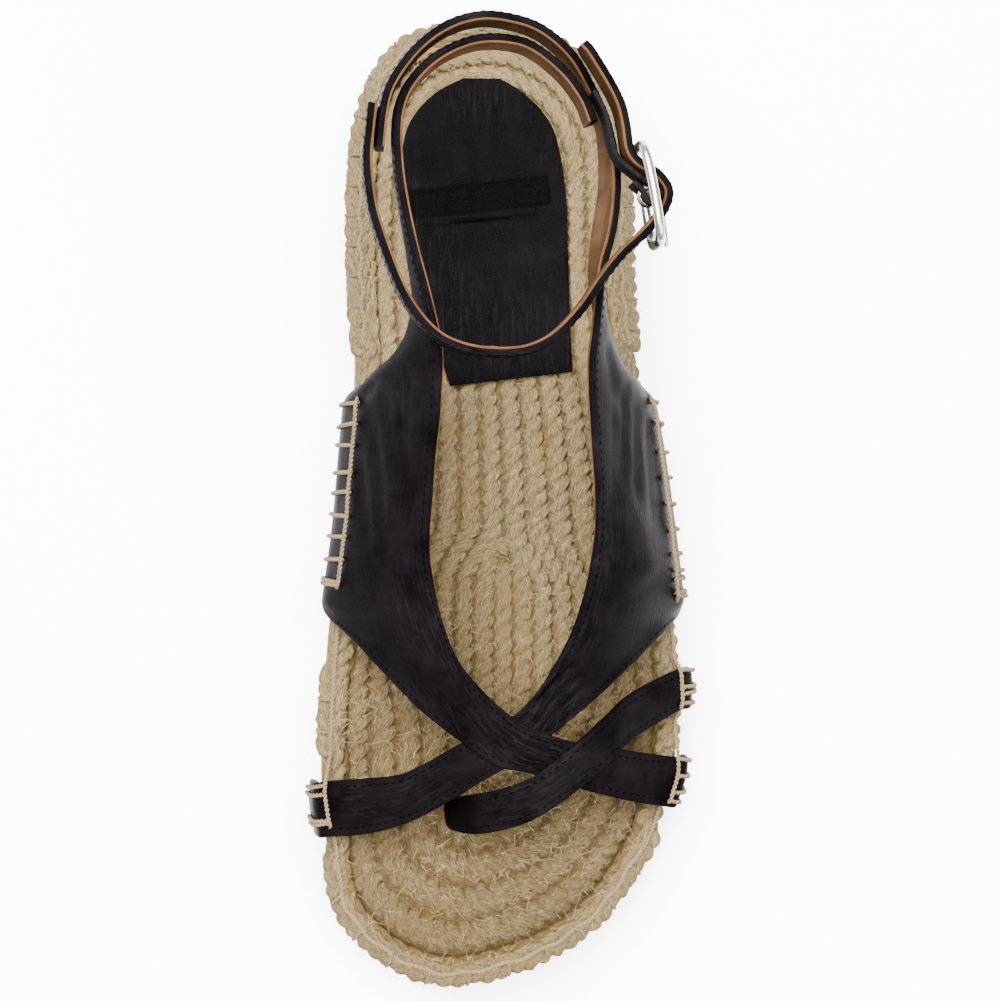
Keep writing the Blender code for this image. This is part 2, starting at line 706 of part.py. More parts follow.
def prong_ends():
    """Where the prong starts at the bar and where its tip rests on the frame."""
    frame = buckle_frame()
    root_out = BUCKLE_BOW + BAR_DIAMETER / 2 + CLEARANCE + PRONG_DIAMETER / 2
    tip_out = BUCKLE_WIRE / 2 + CLEARANCE + PRONG_DIAMETER / 2
    root = frame @ Vector((0.0, 0, root_out))
    tip = frame @ Vector((-BUCKLE_LENGTH / 2 - PRONG_OVERHANG * BUCKLE_WIRE, 0, tip_out))
    return root, tip


def make_prong_hole(cutters):
    root, tip = prong_ends()
    wide = PRONG_DIAMETER + 4 * CLEARANCE
    reach = (tip - root) * 0.1
    return make_rod("prong_hole", root - reach, tip + reach, wide, 12, cutters)


def curve_to_mesh(name, points, radius, cyclic, resolution, group, material):
    """A round wire along points, made a mesh so that it can be joined."""
    curve = bpy.data.curves.new(name + "_wire", "CURVE")
    curve.dimensions = "3D"
    line = curve.splines.new("POLY")
    line.points.add(len(points) - 1)
    for point, spot in zip(line.points, points):
        point.co = (*spot, 1)
    line.use_cyclic_u = cyclic
    curve.bevel_depth = radius
    curve.bevel_resolution = resolution
    curve.use_fill_caps = not cyclic
    wire = bpy.data.objects.new(name + "_wire", curve)
    group.objects.link(wire)
    bpy.context.view_layer.update()
    depsgraph = bpy.context.evaluated_depsgraph_get()
    mesh = bpy.data.meshes.new_from_object(wire.evaluated_get(depsgraph))
    bm = bmesh.new()
    bm.from_mesh(mesh)
    bmesh.ops.remove_doubles(bm, verts=bm.verts, dist=MERGE_DISTANCE)
    bmesh.ops.recalc_face_normals(bm, faces=bm.faces)
    item = make_object(name, bm, group, material)
    bpy.data.meshes.remove(mesh)
    bpy.data.objects.remove(wire, do_unlink=True)
    return item


def bow_at(x):
    """How far the buckle's long sides stand out at a place along it."""
    share = min(abs(x) / (BUCKLE_LENGTH / 2), 1.0)
    return BUCKLE_BOW * (1 - share ** 2)


def make_buckle(parts, cutters, material):
    """The buckle's rounded frame with its centre bar."""
    frame = buckle_frame()
    ring = []
    for step in range(BUCKLE_STEPS):
        angle = tau * step / BUCKLE_STEPS
        x = BUCKLE_LENGTH / 2 * np.sign(cos(angle)) * abs(cos(angle)) ** BUCKLE_ROUNDNESS
        y = BUCKLE_HEIGHT / 2 * np.sign(sin(angle)) * abs(sin(angle)) ** BUCKLE_ROUNDNESS
        ring.append(frame @ Vector((x, y, bow_at(x))))
    buckle = curve_to_mesh("buckle_frame", ring, BUCKLE_WIRE / 2, True, 2, parts, material)
    low = frame @ Vector((0, -BUCKLE_HEIGHT / 2, BUCKLE_BOW))
    high = frame @ Vector((0, BUCKLE_HEIGHT / 2, BUCKLE_BOW))
    bar = make_rod("centre_bar", low, high, BAR_DIAMETER, 12, parts)
    join(buckle, bar, cutters)
    return buckle


def prong_points():
    """The prong's middle line: an open eye round the bar, then straight to its tip."""
    frame = buckle_frame()
    reach = (BAR_DIAMETER + PRONG_DIAMETER) / 2 + CLEARANCE
    points = []
    for step in range(PRONG_EYE_STEPS):
        angle = PRONG_EYE_START + PRONG_EYE_SWEEP * step / (PRONG_EYE_STEPS - 1)
        points.append(frame @ Vector((reach * cos(angle), 0, BUCKLE_BOW + reach * sin(angle))))
    points.append(prong_ends()[1])
    return points


def elastic_path():
    """Middle line of the elastic: from the medial strap's end, inside the ankle strap, round the bar."""
    frame = buckle_frame()
    bar = Vector((0, 0, BUCKLE_BOW))
    radius = BAR_DIAMETER / 2 + CLEARANCE + ELASTIC_THICKNESS / 2
    inside = -(BUCKLE_WIRE / 2 + 2 * CLEARANCE + ELASTIC_TUCK * ANKLE_WALL)
    near = Vector((ELASTIC_NEAR[0] * radius, 0, bar.z + ELASTIC_NEAR[1] * radius))
    path = [strap_point(*spot) for spot in ELASTIC_SEAM]
    path.append(frame @ Vector((BUCKLE_LENGTH / 2, ELASTIC_SAG, inside)))
    path.append(frame @ near)
    approach = (bar - near).normalized()
    left = Vector((approach.z, 0, -approach.x))
    first = atan2(left.z, left.x) + ELASTIC_TURN_START
    for step in range(ELASTIC_TURN_STEPS):
        angle = first + ELASTIC_TURN_SWEEP * step / (ELASTIC_TURN_STEPS - 1)
        path.append(frame @ Vector((radius * cos(angle), 0, bar.z + radius * sin(angle))))
    path.append(frame @ (bar - approach * radius * ELASTIC_END[0] - left * radius * ELASTIC_END[1]))
    return path


def make_elastic(parts, cutters, material):
    """The ribbed elastic that holds the buckle, with a slot for the prong."""
    path = elastic_path()
    columns = 2

    def place(row, column):
        return path[row] + Vector((0, 0, ELASTIC_HEIGHT * (0.5 - column / (columns - 1))))

    bm = grid_surface(len(path), columns, place)
    elastic = make_object("elastic", bm, parts, material)
    wall = elastic.modifiers.new("wall", "SOLIDIFY")
    wall.thickness = ELASTIC_THICKNESS
    wall.offset = 0
    wall.use_even_offset = True
    cutter = bmesh.new()
    bmesh.ops.create_cube(cutter, size=1)
    frame = buckle_frame()
    shape = Matrix.Diagonal((PRONG_SLOT_LENGTH, PRONG_SLOT, PRONG_SLOT_DEPTH, 1))
    place_slot = frame @ Matrix.Translation((PRONG_SLOT_SHIFT, 0, BUCKLE_BOW)) @ shape
    bmesh.ops.transform(cutter, matrix=place_slot, verts=cutter.verts)
    slot = make_object("prong_slot", cutter, cutters)
    cut(elastic, slot, cutters)
    return elastic


def main():
    clear_scene()
    parts = make_collection(COLLECTION)
    cutters = make_collection(CUTTERS)
    leather = make_material("black_leather", LEATHER)
    metal = make_material("silver_metal", METAL)
    make_sole_body("outsole", OutsoleRings(), parts, make_material("rubber", RUBBER))
    make_sole_body("jute_sole", JuteRings(), parts, make_material("jute", JUTE))
    make_heel_pad(parts, make_material("pad_leather", PAD_LEATHER))
    make_upper(parts, cutters, leather)
    make_ankle_strap(parts, cutters, leather)
    make_elastic(parts, cutters, make_material("elastic", ELASTIC))
    make_buckle(parts, cutters, metal)
    curve_to_mesh("buckle_prong", prong_points(), PRONG_DIAMETER / 2, False, 2, parts, metal)


main()
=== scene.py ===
"""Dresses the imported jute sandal: twisted rope, yarn, leather with its lining, elastic and metal.

Frame: +Z up, heel towards +Y, toe towards -Y, outer side of the left foot towards +X. Lengths are in metres.
"""

import logging
from collections import namedtuple
from dataclasses import dataclass, field, replace
from enum import Enum
from math import atan2, cos, pi, radians, sin, tau
from typing import Callable, Optional, Sequence

import bmesh
import bpy
import numpy as np
from mathutils import Matrix, Vector


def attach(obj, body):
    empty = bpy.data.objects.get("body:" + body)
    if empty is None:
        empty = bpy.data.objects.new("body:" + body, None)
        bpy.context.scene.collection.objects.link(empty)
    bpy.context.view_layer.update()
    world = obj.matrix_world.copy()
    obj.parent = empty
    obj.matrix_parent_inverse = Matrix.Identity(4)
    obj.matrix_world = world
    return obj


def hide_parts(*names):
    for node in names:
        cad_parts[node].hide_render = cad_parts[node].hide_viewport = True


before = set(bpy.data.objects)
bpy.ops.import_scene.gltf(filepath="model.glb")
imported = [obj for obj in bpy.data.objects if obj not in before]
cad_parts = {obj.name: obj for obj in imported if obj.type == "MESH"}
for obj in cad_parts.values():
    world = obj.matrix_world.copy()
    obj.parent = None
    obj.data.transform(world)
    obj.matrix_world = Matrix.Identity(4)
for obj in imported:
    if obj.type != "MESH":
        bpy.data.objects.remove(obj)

BODY = "root"
HALF_LENGTH = 0.128
HALF_WIDTH = 0.050
CLEARANCE = 0.0003
WALL = 0.0022
STRAP_RISE = 0.060
STRAP_REACH = (-0.75, 0.70)
BUCKLE_ALONG = 0.573
RIM_STATIONS = 721
EDGE_LENGTH = 0.62
ROW_HEIGHT = 0.0019
RIM_TOP_WIDTH = 0.0078
MEET_STEEP = 0.86
SPLINE_STEPS = 24
LEATHER_SHARE = 0.72
SHOULDER_SHARE = 0.85
CREASE_GAIN = 1.4
CREASE_LIMIT = 0.0009
MILLIMETRE = 0.001

Edge = namedtuple("Edge", "along medial lateral")
Row = namedtuple("Row", "top_across top_along top_lift low_across low_along low_lift wrap")
Spot = namedtuple("Spot", "across along lift")
Weave = namedtuple("Weave", "along out")
Band = namedtuple("Band", "inset wide tall drop hand lay")
Flange = namedtuple("Flange", "side first last")

SOLE_OUTLINE = (
    Edge(-1.00, -0.30, -0.30), Edge(-0.965, -0.60, 0.14), Edge(-0.90, -0.81, 0.45),
    Edge(-0.84, -0.91, 0.61), Edge(-0.72, -0.97, 0.82), Edge(-0.58, -1.00, 0.95),
    Edge(-0.43, -0.99, 0.99), Edge(-0.25, -0.955, 0.96), Edge(-0.06, -0.89, 0.90),
    Edge(0.12, -0.85, 0.83), Edge(0.28, -0.82, 0.75), Edge(0.46, -0.84, 0.70),
    Edge(0.62, -0.845, 0.695), Edge(0.77, -0.81, 0.66), Edge(0.88, -0.71, 0.51),
    Edge(0.96, -0.51, 0.28), Edge(1.00, -0.07, -0.07),
)
MEDIAL_STRAP = (
    Row(1.02, -0.53, -0.13, 1.02, -0.635, -0.13, 0), Row(1.00, -0.53, 0.015, 1.00, -0.635, 0.015, 0),
    Row(0.90, -0.525, 0.08, 0.93, -0.63, 0.07, 0), Row(0.62, -0.505, 0.235, 0.68, -0.61, 0.205, 0),
    Row(0.40, -0.49, 0.33, 0.42, -0.585, 0.28, 0), Row(0.21, -0.47, 0.395, 0.12, -0.55, 0.345, 0),
    Row(0.00, -0.43, 0.445, -0.08, -0.53, 0.38, 0), Row(-0.26, -0.33, 0.515, -0.27, -0.48, 0.375, 0),
    Row(-0.41, -0.21, 0.63, -0.47, -0.42, 0.36, 0), Row(-0.48, -0.13, 0.68, -0.67, -0.345, 0.30, 0),
    Row(-0.51, -0.05, 0.74, -0.86, -0.27, 0.18, 0.10), Row(-0.51, 0.02, 0.78, -1.00, -0.20, 0.00, 1),
    Row(-0.51, 0.09, 0.82, -1.00, -0.10, 0.00, 1), Row(-0.50, 0.16, 0.85, -1.00, 0.00, 0.00, 1),
    Row(-0.50, 0.22, 0.86, -1.00, 0.10, 0.00, 1), Row(-0.50, 0.27, 0.87, -1.00, 0.19, 0.00, 1),
    Row(-0.52, 0.31, 0.88, -0.86, 0.245, 0.15, 0.10), Row(-0.555, 0.36, 0.885, -0.70, 0.30, 0.33, 0),
    Row(-0.60, 0.42, 0.90, -0.63, 0.37, 0.55, 0), Row(-0.655, 0.49, 0.92, -0.66, 0.46, 0.70, 0),
    Row(-0.70, 0.56, 0.935, -0.70, 0.55, 0.735, 0), Row(-0.738, 0.64, 0.94, -0.738, 0.64, 0.74, 0),
    Row(-0.748, 0.72, 0.94, -0.748, 0.72, 0.74, 0), Row(-0.68, 0.785, 0.94, -0.68, 0.785, 0.74, 0),
    Row(-0.52, 0.84, 0.94, -0.52, 0.84, 0.74, 0), Row(-0.31, 0.873, 0.94, -0.31, 0.873, 0.74, 0),
    Row(-0.10, 0.878, 0.94, -0.10, 0.878, 0.74, 0), Row(0.10, 0.86, 0.94, 0.10, 0.86, 0.74, 0),
    Row(0.31, 0.815, 0.94, 0.31, 0.815, 0.74, 0), Row(0.45, 0.765, 0.94, 0.45, 0.765, 0.74, 0),
    Row(0.52, 0.72, 0.94, 0.52, 0.72, 0.74, 0),
)
LATERAL_STRAP = (
    Row(-1.02, -0.575, -0.13, -1.02, -0.69, -0.13, 0), Row(-1.00, -0.575, 0.015, -1.00, -0.69, 0.015, 0),
    Row(-0.93, -0.57, 0.075, -0.95, -0.685, 0.07, 0), Row(-0.73, -0.56, 0.19, -0.75, -0.675, 0.165, 0),
    Row(-0.53, -0.545, 0.28, -0.53, -0.65, 0.24, 0), Row(-0.28, -0.49, 0.345, -0.31, -0.605, 0.295, 0),
    Row(-0.12, -0.455, 0.38, -0.15, -0.565, 0.33, 0), Row(0.02, -0.425, 0.415, 0.05, -0.52, 0.36, 0),
    Row(0.13, -0.38, 0.45, 0.23, -0.465, 0.385, 0), Row(0.23, -0.32, 0.49, 0.41, -0.41, 0.37, 0),
    Row(0.32, -0.25, 0.56, 0.59, -0.35, 0.34, 0), Row(0.39, -0.17, 0.63, 0.75, -0.30, 0.25, 0),
    Row(0.43, -0.10, 0.68, 0.87, -0.26, 0.17, 0.10), Row(0.45, -0.04, 0.74, 1.00, -0.20, 0.00, 1),
    Row(0.455, 0.03, 0.79, 1.00, -0.10, 0.00, 1), Row(0.45, 0.09, 0.82, 1.00, 0.00, 0.00, 1),
    Row(0.45, 0.15, 0.84, 1.00, 0.10, 0.00, 1), Row(0.455, 0.21, 0.85, 1.00, 0.19, 0.00, 1),
    Row(0.475, 0.27, 0.855, 0.86, 0.245, 0.15, 0.10), Row(0.51, 0.32, 0.86, 0.73, 0.30, 0.30, 0),
    Row(0.545, 0.375, 0.86, 0.62, 0.35, 0.50, 0), Row(0.59, 0.44, 0.85, 0.56, 0.43, 0.62, 0),
    Row(0.67, 0.51, 0.825, 0.58, 0.51, 0.625, 0), Row(0.71, 0.59, 0.80, 0.63, 0.59, 0.60, 0),
    Row(0.71, 0.65, 0.775, 0.65, 0.65, 0.575, 0), Row(0.655, 0.725, 0.77, 0.635, 0.725, 0.57, 0),
    Row(0.545, 0.785, 0.81, 0.535, 0.785, 0.61, 0), Row(0.38, 0.848, 0.89, 0.375, 0.848, 0.69, 0),
    Row(0.17, 0.892, 0.94, 0.17, 0.892, 0.74, 0), Row(-0.03, 0.913, 0.955, -0.03, 0.913, 0.755, 0),
    Row(-0.24, 0.92, 0.96, -0.24, 0.92, 0.76, 0), Row(-0.45, 0.90, 0.96, -0.45, 0.90, 0.76, 0),
    Row(-0.64, 0.853, 0.96, -0.64, 0.853, 0.76, 0), Row(-0.79, 0.784, 0.96, -0.79, 0.784, 0.76, 0),
    Row(-0.84, 0.72, 0.96, -0.84, 0.72, 0.76, 0), Row(-0.85, 0.665, 0.96, -0.85, 0.665, 0.76, 0),
)
TOE_STRAP = (
    Row(1.02, -0.345, -0.13, 1.02, -0.43, -0.13, 0), Row(1.00, -0.345, 0.015, 1.00, -0.43, 0.015, 0),
    Row(0.90, -0.35, 0.085, 0.92, -0.435, 0.08, 0), Row(0.66, -0.39, 0.225, 0.67, -0.485, 0.21, 0),
    Row(0.52, -0.43, 0.315, 0.54, -0.53, 0.285, 0), Row(0.38, -0.475, 0.365, 0.40, -0.575, 0.325, 0),
    Row(0.25, -0.515, 0.385, 0.27, -0.61, 0.345, 0), Row(0.12, -0.55, 0.38, 0.14, -0.64, 0.335, 0),
    Row(-0.05, -0.578, 0.325, -0.02, -0.662, 0.29, 0), Row(-0.19, -0.592, 0.24, -0.17, -0.675, 0.215, 0),
    Row(-0.285, -0.605, 0.09, -0.28, -0.675, 0.085, 0), Row(-0.31, -0.612, -0.04, -0.31, -0.672, -0.04, 0),
)
ANKLE_FRONT = (
    Spot(-0.90, 0.745, 0.98), Spot(-0.915, 0.70, 0.985), Spot(-0.92, 0.635, 1.00), Spot(-0.89, 0.55, 1.03),
    Spot(-0.835, 0.48, 1.06), Spot(-0.745, 0.395, 1.09), Spot(-0.65, 0.34, 1.10), Spot(-0.53, 0.30, 1.105),
    Spot(-0.405, 0.28, 1.105), Spot(-0.27, 0.27, 1.105), Spot(-0.12, 0.268, 1.105), Spot(0.03, 0.275, 1.10),
    Spot(0.20, 0.30, 1.10), Spot(0.38, 0.35, 1.10), Spot(0.54, 0.41, 1.09), Spot(0.68, 0.455, 1.075),
)
ANKLE_TAIL = (
    Spot(0.735, 0.705, 1.05), Spot(0.70, 0.745, 1.045), Spot(0.63, 0.785, 1.04),
    Spot(0.51, 0.838, 1.035), Spot(0.44, 0.866, 1.03),
)
BUCKLE_WEAVE = (
    Weave(-0.80, -1.00), Weave(-0.42, 1.50), Weave(0.00, 2.55), Weave(0.42, 1.60),
    Weave(0.72, -0.25), Weave(0.98, -0.85),
)
HEEL_PAD = (
    Edge(0.866, -0.22, -0.02), Edge(0.84, -0.345, 0.09), Edge(0.80, -0.455, 0.20), Edge(0.745, -0.525, 0.275),
    Edge(0.64, -0.55, 0.32), Edge(0.50, -0.475, 0.335), Edge(0.37, -0.385, 0.345), Edge(0.25, -0.285, 0.36),
)
ELASTIC_SEAM = (Spot(0.496, 0.773, 0.88), Spot(0.578, 0.728, 0.885))


def smooth_step(value: np.ndarray, low: float, high: float) -> np.ndarray:
    """Eased step from 0 at low to 1 at high.

    Args:
        value: A number or an array.
        low: Where the step starts.
        high: Where it ends.

    Returns:
        The eased share, of the same shape as value.
    """
    share = np.clip((value - low) / (high - low), 0.0, 1.0)
    return share * share * (3 - 2 * share)


def spline(knots: Sequence, count: int, before: Optional[Sequence] = None,
           after: Optional[Sequence] = None) -> np.ndarray:
    """Even samples of a Catmull-Rom curve.

    Args:
        knots: The points that the curve passes through.
        count: How many samples are made.
        before: The point that leads into the curve, if it isn't straight there.
        after: The point that leads out of it.

    Returns:
        An array of count rows.
    """
    knots = np.array(knots, dtype=float)
    first = 2 * knots[0] - knots[1] if before is None else before
    last = 2 * knots[-1] - knots[-2] if after is None else after
    padded = np.vstack([first, knots, last])
    steps = np.linspace(0, 1, SPLINE_STEPS, endpoint=False)[:, None]
    fine = []
    for start in range(len(padded) - 3):
        a, b, c, d = padded[start:start + 4]
        fine.append(0.5 * (2 * b + (c - a) * steps + (2 * a - 5 * b + 4 * c - d) * steps ** 2
                           + (3 * b - a - 3 * c + d) * steps ** 3))
    fine = np.vstack(fine + [padded[-2:-1]])
    return resample(fine, count)


def run_lengths(points: np.ndarray) -> np.ndarray:
    """Distance along a line of points, from 0 at the first."""
    return np.concatenate([[0], np.cumsum(np.linalg.norm(np.diff(points, axis=0), axis=1))])


def grid_lengths(run: np.ndarray, around: np.ndarray) -> np.ndarray:
    """Lengths along and across a sheet, a pair for each of its points."""
    return np.stack(np.broadcast_arrays(run[:, None], around), axis=-1)


def resample(points: np.ndarray, count: int) -> np.ndarray:
    """Spreads points evenly along the line that they follow.

    Args:
        points: The line's points, one a row.
        count: How many even points are wanted.

    Returns:
        An array of count rows.
    """
    lengths = run_lengths(points)
    places = np.linspace(0, lengths[-1], count)
    return np.array([np.interp(places, lengths, points[:, column]) for column in range(points.shape[1])]).T


def unit(vectors: np.ndarray) -> np.ndarray:
    """Vectors of length one, each along its own row.

    Args:
        vectors: An array whose last axis holds the components.

    Returns:
        The same directions with length one.
    """
    return vectors / np.maximum(np.linalg.norm(vectors, axis=-1, keepdims=True), 1e-12)


@dataclass(frozen=True)
class SoleShape:
    """The sole's outline and heights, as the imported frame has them."""

    outsole: float = 0.004
    jute: float = 0.020
    heel_raise: float = 0.005
    toe_spring: float = 0.005
    rim_width: float = 0.008
    rim_height: float = 0.0036
    relief: float = 0.0011
    spine_toe: float = 0.062
    spine_heel: float = 0.038
    cup: float = 0.0022
    arch: float = 0.0015

    def edge_points(self, side: int, count: int = 61) -> np.ndarray:
        """One edge of the sole from toe tip to heel tip.

        Args:
            side: -1 for the medial edge, 1 for the lateral one.
            count: How many points are made.

        Returns:
            Rows of x and y.
        """
        lateral = [(row.lateral * HALF_WIDTH, row.along * HALF_LENGTH) for row in SOLE_OUTLINE]
        medial = [(row.medial * HALF_WIDTH, row.along * HALF_LENGTH) for row in SOLE_OUTLINE]
        knots, other = (lateral, medial) if side > 0 else (medial, lateral)
        return spline(knots, count, before=other[1], after=other[-2])

    def edge_at(self, side: np.ndarray, along: np.ndarray) -> np.ndarray:
        """The edge's x at a place along the sole; both arguments may be arrays.

        Args:
            side: Sign of the side, medial below 0.
            along: Place along the sole, from -1 at the toe to 1 at the heel.

        Returns:
            The edge's x there.
        """
        places = np.asarray(along) * HALF_LENGTH
        found = [np.interp(places, points[:, 1], points[:, 0])
                 for points in (self.edge_points(-1), self.edge_points(1))]
        return np.where(np.asarray(side) > 0, found[1], found[0])

    def ground(self, along: np.ndarray) -> np.ndarray:
        """Height of the underside, which lifts at the toe."""
        return self.toe_spring * np.maximum(0.0, (-0.58 - along) / 0.42) ** 2

    def jute_bottom(self, along: np.ndarray) -> np.ndarray:
        """Height of the jute's underside."""
        return self.ground(along) + self.outsole + CLEARANCE

    def rim_top(self, along: np.ndarray) -> np.ndarray:
        """Height of the rim's top."""
        return self.jute_bottom(along) + self.jute + self.heel_raise * smooth_step(along, -0.35, 0.5)

    def spine_at(self, along: np.ndarray) -> np.ndarray:
        """Middle line of the coil as x and y, held between its toe end and its heel end.

        Args:
            along: Place along the sole, from -1 to 1.

        Returns:
            Rows of x and y.
        """
        place = np.clip(along, -1 + self.spine_toe / HALF_LENGTH, 1 - self.spine_heel / HALF_LENGTH)
        middle = 0.5 * (self.edge_at(-1, place) + self.edge_at(1, place))
        return np.stack([middle, place * HALF_LENGTH], axis=-1)

    def footbed(self, spots: np.ndarray) -> np.ndarray:
        """Height of the coil rows' tops.

        Args:
            spots: Rows of x and y.

        Returns:
            One height a row.
        """
        along = spots[..., 1] / HALF_LENGTH
        spine = self.spine_at(along)
        place = spine[..., 1] / HALF_LENGTH
        half = 0.5 * (self.edge_at(1, place) - self.edge_at(-1, place)) - self.rim_width
        end = np.where(spots[..., 1] > spine[..., 1], self.spine_heel, self.spine_toe) - self.rim_width
        away = spots - spine
        reach = np.minimum(1.0, (away[..., 0] / half) ** 2 + (away[..., 1] / end) ** 2)
        cup = self.cup * smooth_step(along, 0.0, 0.5) * (1 - reach)
        arch = self.arch * smooth_step(along, -0.35, 0.15) * (1 - smooth_step(along, 0.2, 0.6))
        medial = smooth_step(-away[..., 0] / half, 0.2, 1.0)
        return self.rim_top(along) - self.rim_height - cup + arch * medial

    def loop(self, count: int) -> tuple[np.ndarray, np.ndarray]:
        """Stations round the sole, even along its edge.

        Args:
            count: How many stations; the last one repeats the first.

        Returns:
            Edge points and the spine points that they face, as rows of x and y.
        """
        right, left = self.edge_points(1), self.edge_points(-1)
        middle = 0.5 * (right[:, 1] + left[:, 1]) / HALF_LENGTH
        spine = self.spine_at(middle)
        edges = np.vstack([right, left[-2::-1]])
        spines = np.vstack([spine, spine[-2::-1]])
        both = resample(np.hstack([edges, spines]), count)
        return both[:, :2], both[:, 2:]


SOLE = SoleShape()


def share_points(across: np.ndarray, along: np.ndarray, lift: np.ndarray) -> np.ndarray:
    """Points of the straps' outer faces from shares of the sole and of the straps' rise.

    Args:
        across: Share of the sole's half width there.
        along: Share of its half length.
        lift: Share of the straps' rise.

    Returns:
        Rows of x, y and z.
    """
    held = np.clip(along, *STRAP_REACH)
    x = np.abs(across) * SOLE.edge_at(np.where(across > 0, 1, -1), held)
    return np.stack([x, along * HALF_LENGTH, SOLE.rim_top(along) + lift * STRAP_RISE], axis=-1)


class MeshMaker:
    """Gathers lofted sheets into one mesh and turns it into a dressed piece."""

    def __init__(self, name: str) -> None:
        """Starts an empty piece of that name."""
        self.name = name
        self.body = bmesh.new()

    def add(self, points: np.ndarray, uv: Optional[np.ndarray] = None, slots: Optional[np.ndarray] = None,
            flip: bool = False) -> None:
        """Adds sheets whose grid vertices are put in place by row and column.

        Args:
            points: Sheets, rows, columns and x, y, z.
            uv: The same first three axes and two numbers, in metres along and across.
            slots: Material slot of each column of faces.
            flip: True where the sheet's faces would look inwards.
        """
        if points.ndim == 3:
            points = points[None]
            uv = uv[None] if uv is not None else None
        sheets, rows, columns = points.shape[:3]
        part = bmesh.new()
        bmesh.ops.create_grid(part, x_segments=columns - 1, y_segments=sheets * rows - 1, size=1)
        mesh = bpy.data.meshes.new("sheet")
        part.to_mesh(mesh)
        mesh.vertices.foreach_set("co", np.ascontiguousarray(points, dtype=np.float32).ravel())
        corners = np.empty(len(mesh.loops), dtype=np.int32)
        mesh.loops.foreach_get("vertex_index", corners)
        layer = mesh.uv_layers.new(name="length")
        if uv is not None:
            values = np.ascontiguousarray(uv.reshape(-1, 2)[corners], dtype=np.float32)
            layer.data.foreach_set("uv", values.ravel())
        first = corners.reshape(-1, 4).min(axis=1)
        if slots is not None:
            picked = np.asarray(slots, dtype=np.int32)[first % columns]
            mesh.polygons.foreach_set("material_index", picked)
        part.clear()
        part.from_mesh(mesh)
        if sheets > 1:
            part.faces.ensure_lookup_table()
            linking = np.nonzero((first // columns) % rows == rows - 1)[0]
            bmesh.ops.delete(part, geom=[part.faces[index] for index in linking], context="FACES")
        if flip:
            bmesh.ops.reverse_faces(part, faces=part.faces)
        part.to_mesh(mesh)
        self.body.from_mesh(mesh)
        part.free()
        bpy.data.meshes.remove(mesh)

    def finish(self, materials: Sequence[bpy.types.Material], merge: float = 1e-7,
               sharp: float = 60.0) -> bpy.types.Object:
        """Makes the object, smooth and with its materials.

        Args:
            materials: The piece's materials, one a slot.
            merge: Points nearer than this are merged, in metres.
            sharp: Edges steeper than this angle, in degrees, stay sharp.

        Returns:
            The object, linked to the scene, at the origin.
        """
        bmesh.ops.remove_doubles(self.body, verts=self.body.verts, dist=merge)
        bmesh.ops.dissolve_degenerate(self.body, edges=self.body.edges, dist=merge)
        mesh = bpy.data.meshes.new(self.name)
        self.body.to_mesh(mesh)
        self.body.free()
        mesh.shade_smooth()
        mesh.set_sharp_from_angle(angle=radians(sharp))
        for material in materials:
            mesh.materials.append(material)
        item = bpy.data.objects.new(self.name, mesh)
        bpy.context.scene.collection.objects.link(item)
        return item


def frames_along(path: np.ndarray, closed: bool,
                 up: Sequence[float] = (0, 0, 1)) -> tuple[np.ndarray, np.ndarray, np.ndarray]:
    """Directions along a path: forward, up and to the right.

    Args:
        path: Rows of x, y and z.
        closed: True where the last point repeats the first.
        up: The direction that up stays near.

    Returns:
        Three arrays of unit rows.
    """
    if closed:
        forward = unit(np.roll(path[:-1], -1, axis=0) - np.roll(path[:-1], 1, axis=0))
        forward = np.vstack([forward, forward[:1]])
    else:
        forward = unit(np.gradient(path, axis=0))
    right = unit(np.cross(forward, np.array(up, dtype=float)))
    return forward, np.cross(right, forward), right


@dataclass(frozen=True)
class Twist:
    """A twisted cord: its strands wind round its middle line."""

    lay: float = 0.0054
    strands: int = 2
    steps: int = 10
    sides: int = 6
    fullness: float = 0.56
    hand: int = 1

    def sheets(self, path: np.ndarray, wide: np.ndarray, tall: np.ndarray, closed: bool,
               phase: float = 0.0, jitter: float = 0.0, seed: int = 0) -> tuple[np.ndarray, np.ndarray]:
        """Strand tubes that follow a path.

        Args:
            path: Rows of x, y and z.
            wide: Half width of the cord, a number or one a row of path.
            tall: Half height of the cord.
            closed: True for a loop.
            phase: Turn of the first strand, in radians.
            jitter: Unevenness of the strands as a share of their size.
            seed: Start of the random numbers.

        Returns:
            Points and lengths for MeshMaker.add.
        """
        length = float(np.sum(np.linalg.norm(np.diff(path, axis=0), axis=1)))
        turns = max(1, round(length / self.lay))
        count = turns * self.steps + 1
        sizes = np.stack([np.broadcast_to(wide, len(path)), np.broadcast_to(tall, len(path))], axis=1)
        even = resample(np.hstack([path, sizes]), count)
        spots, wide, tall = even[:, :3], even[:, 3:4], even[:, 4:5]
        _, up, right = frames_along(spots, closed)
        rng = np.random.default_rng(seed)
        angle = np.linspace(0, turns * tau, count)[:, None] * self.hand
        sheets, lengths = [], []
        around = np.linspace(0, tau, self.sides + 1)
        for strand in range(self.strands):
            turn = angle + phase + strand * tau / self.strands
            swell = 1 + jitter * np.repeat(rng.uniform(-1, 1, count // 5 + 1), 5)[:count, None]
            if closed:
                swell[-1] = swell[0]
            centre = spots + (1 - self.fullness) * (np.sin(turn) * wide * right + np.cos(turn) * tall * up)
            tube = [centre + swell * self.fullness * (np.cos(a) * tall * up + np.sin(a) * wide * right)
                    for a in around]
            sheets.append(np.stack(tube, axis=1))
            run = np.linspace(0, length * 2, count) + strand * 0.013
            lengths.append(grid_lengths(run, around * float(np.mean(wide)) * self.fullness))
        return np.array(sheets), np.array(lengths)


class Hand(Enum):
    """Which way a strap's outer face looks along its run."""

    MEDIAL = 1
    LATERAL = -1


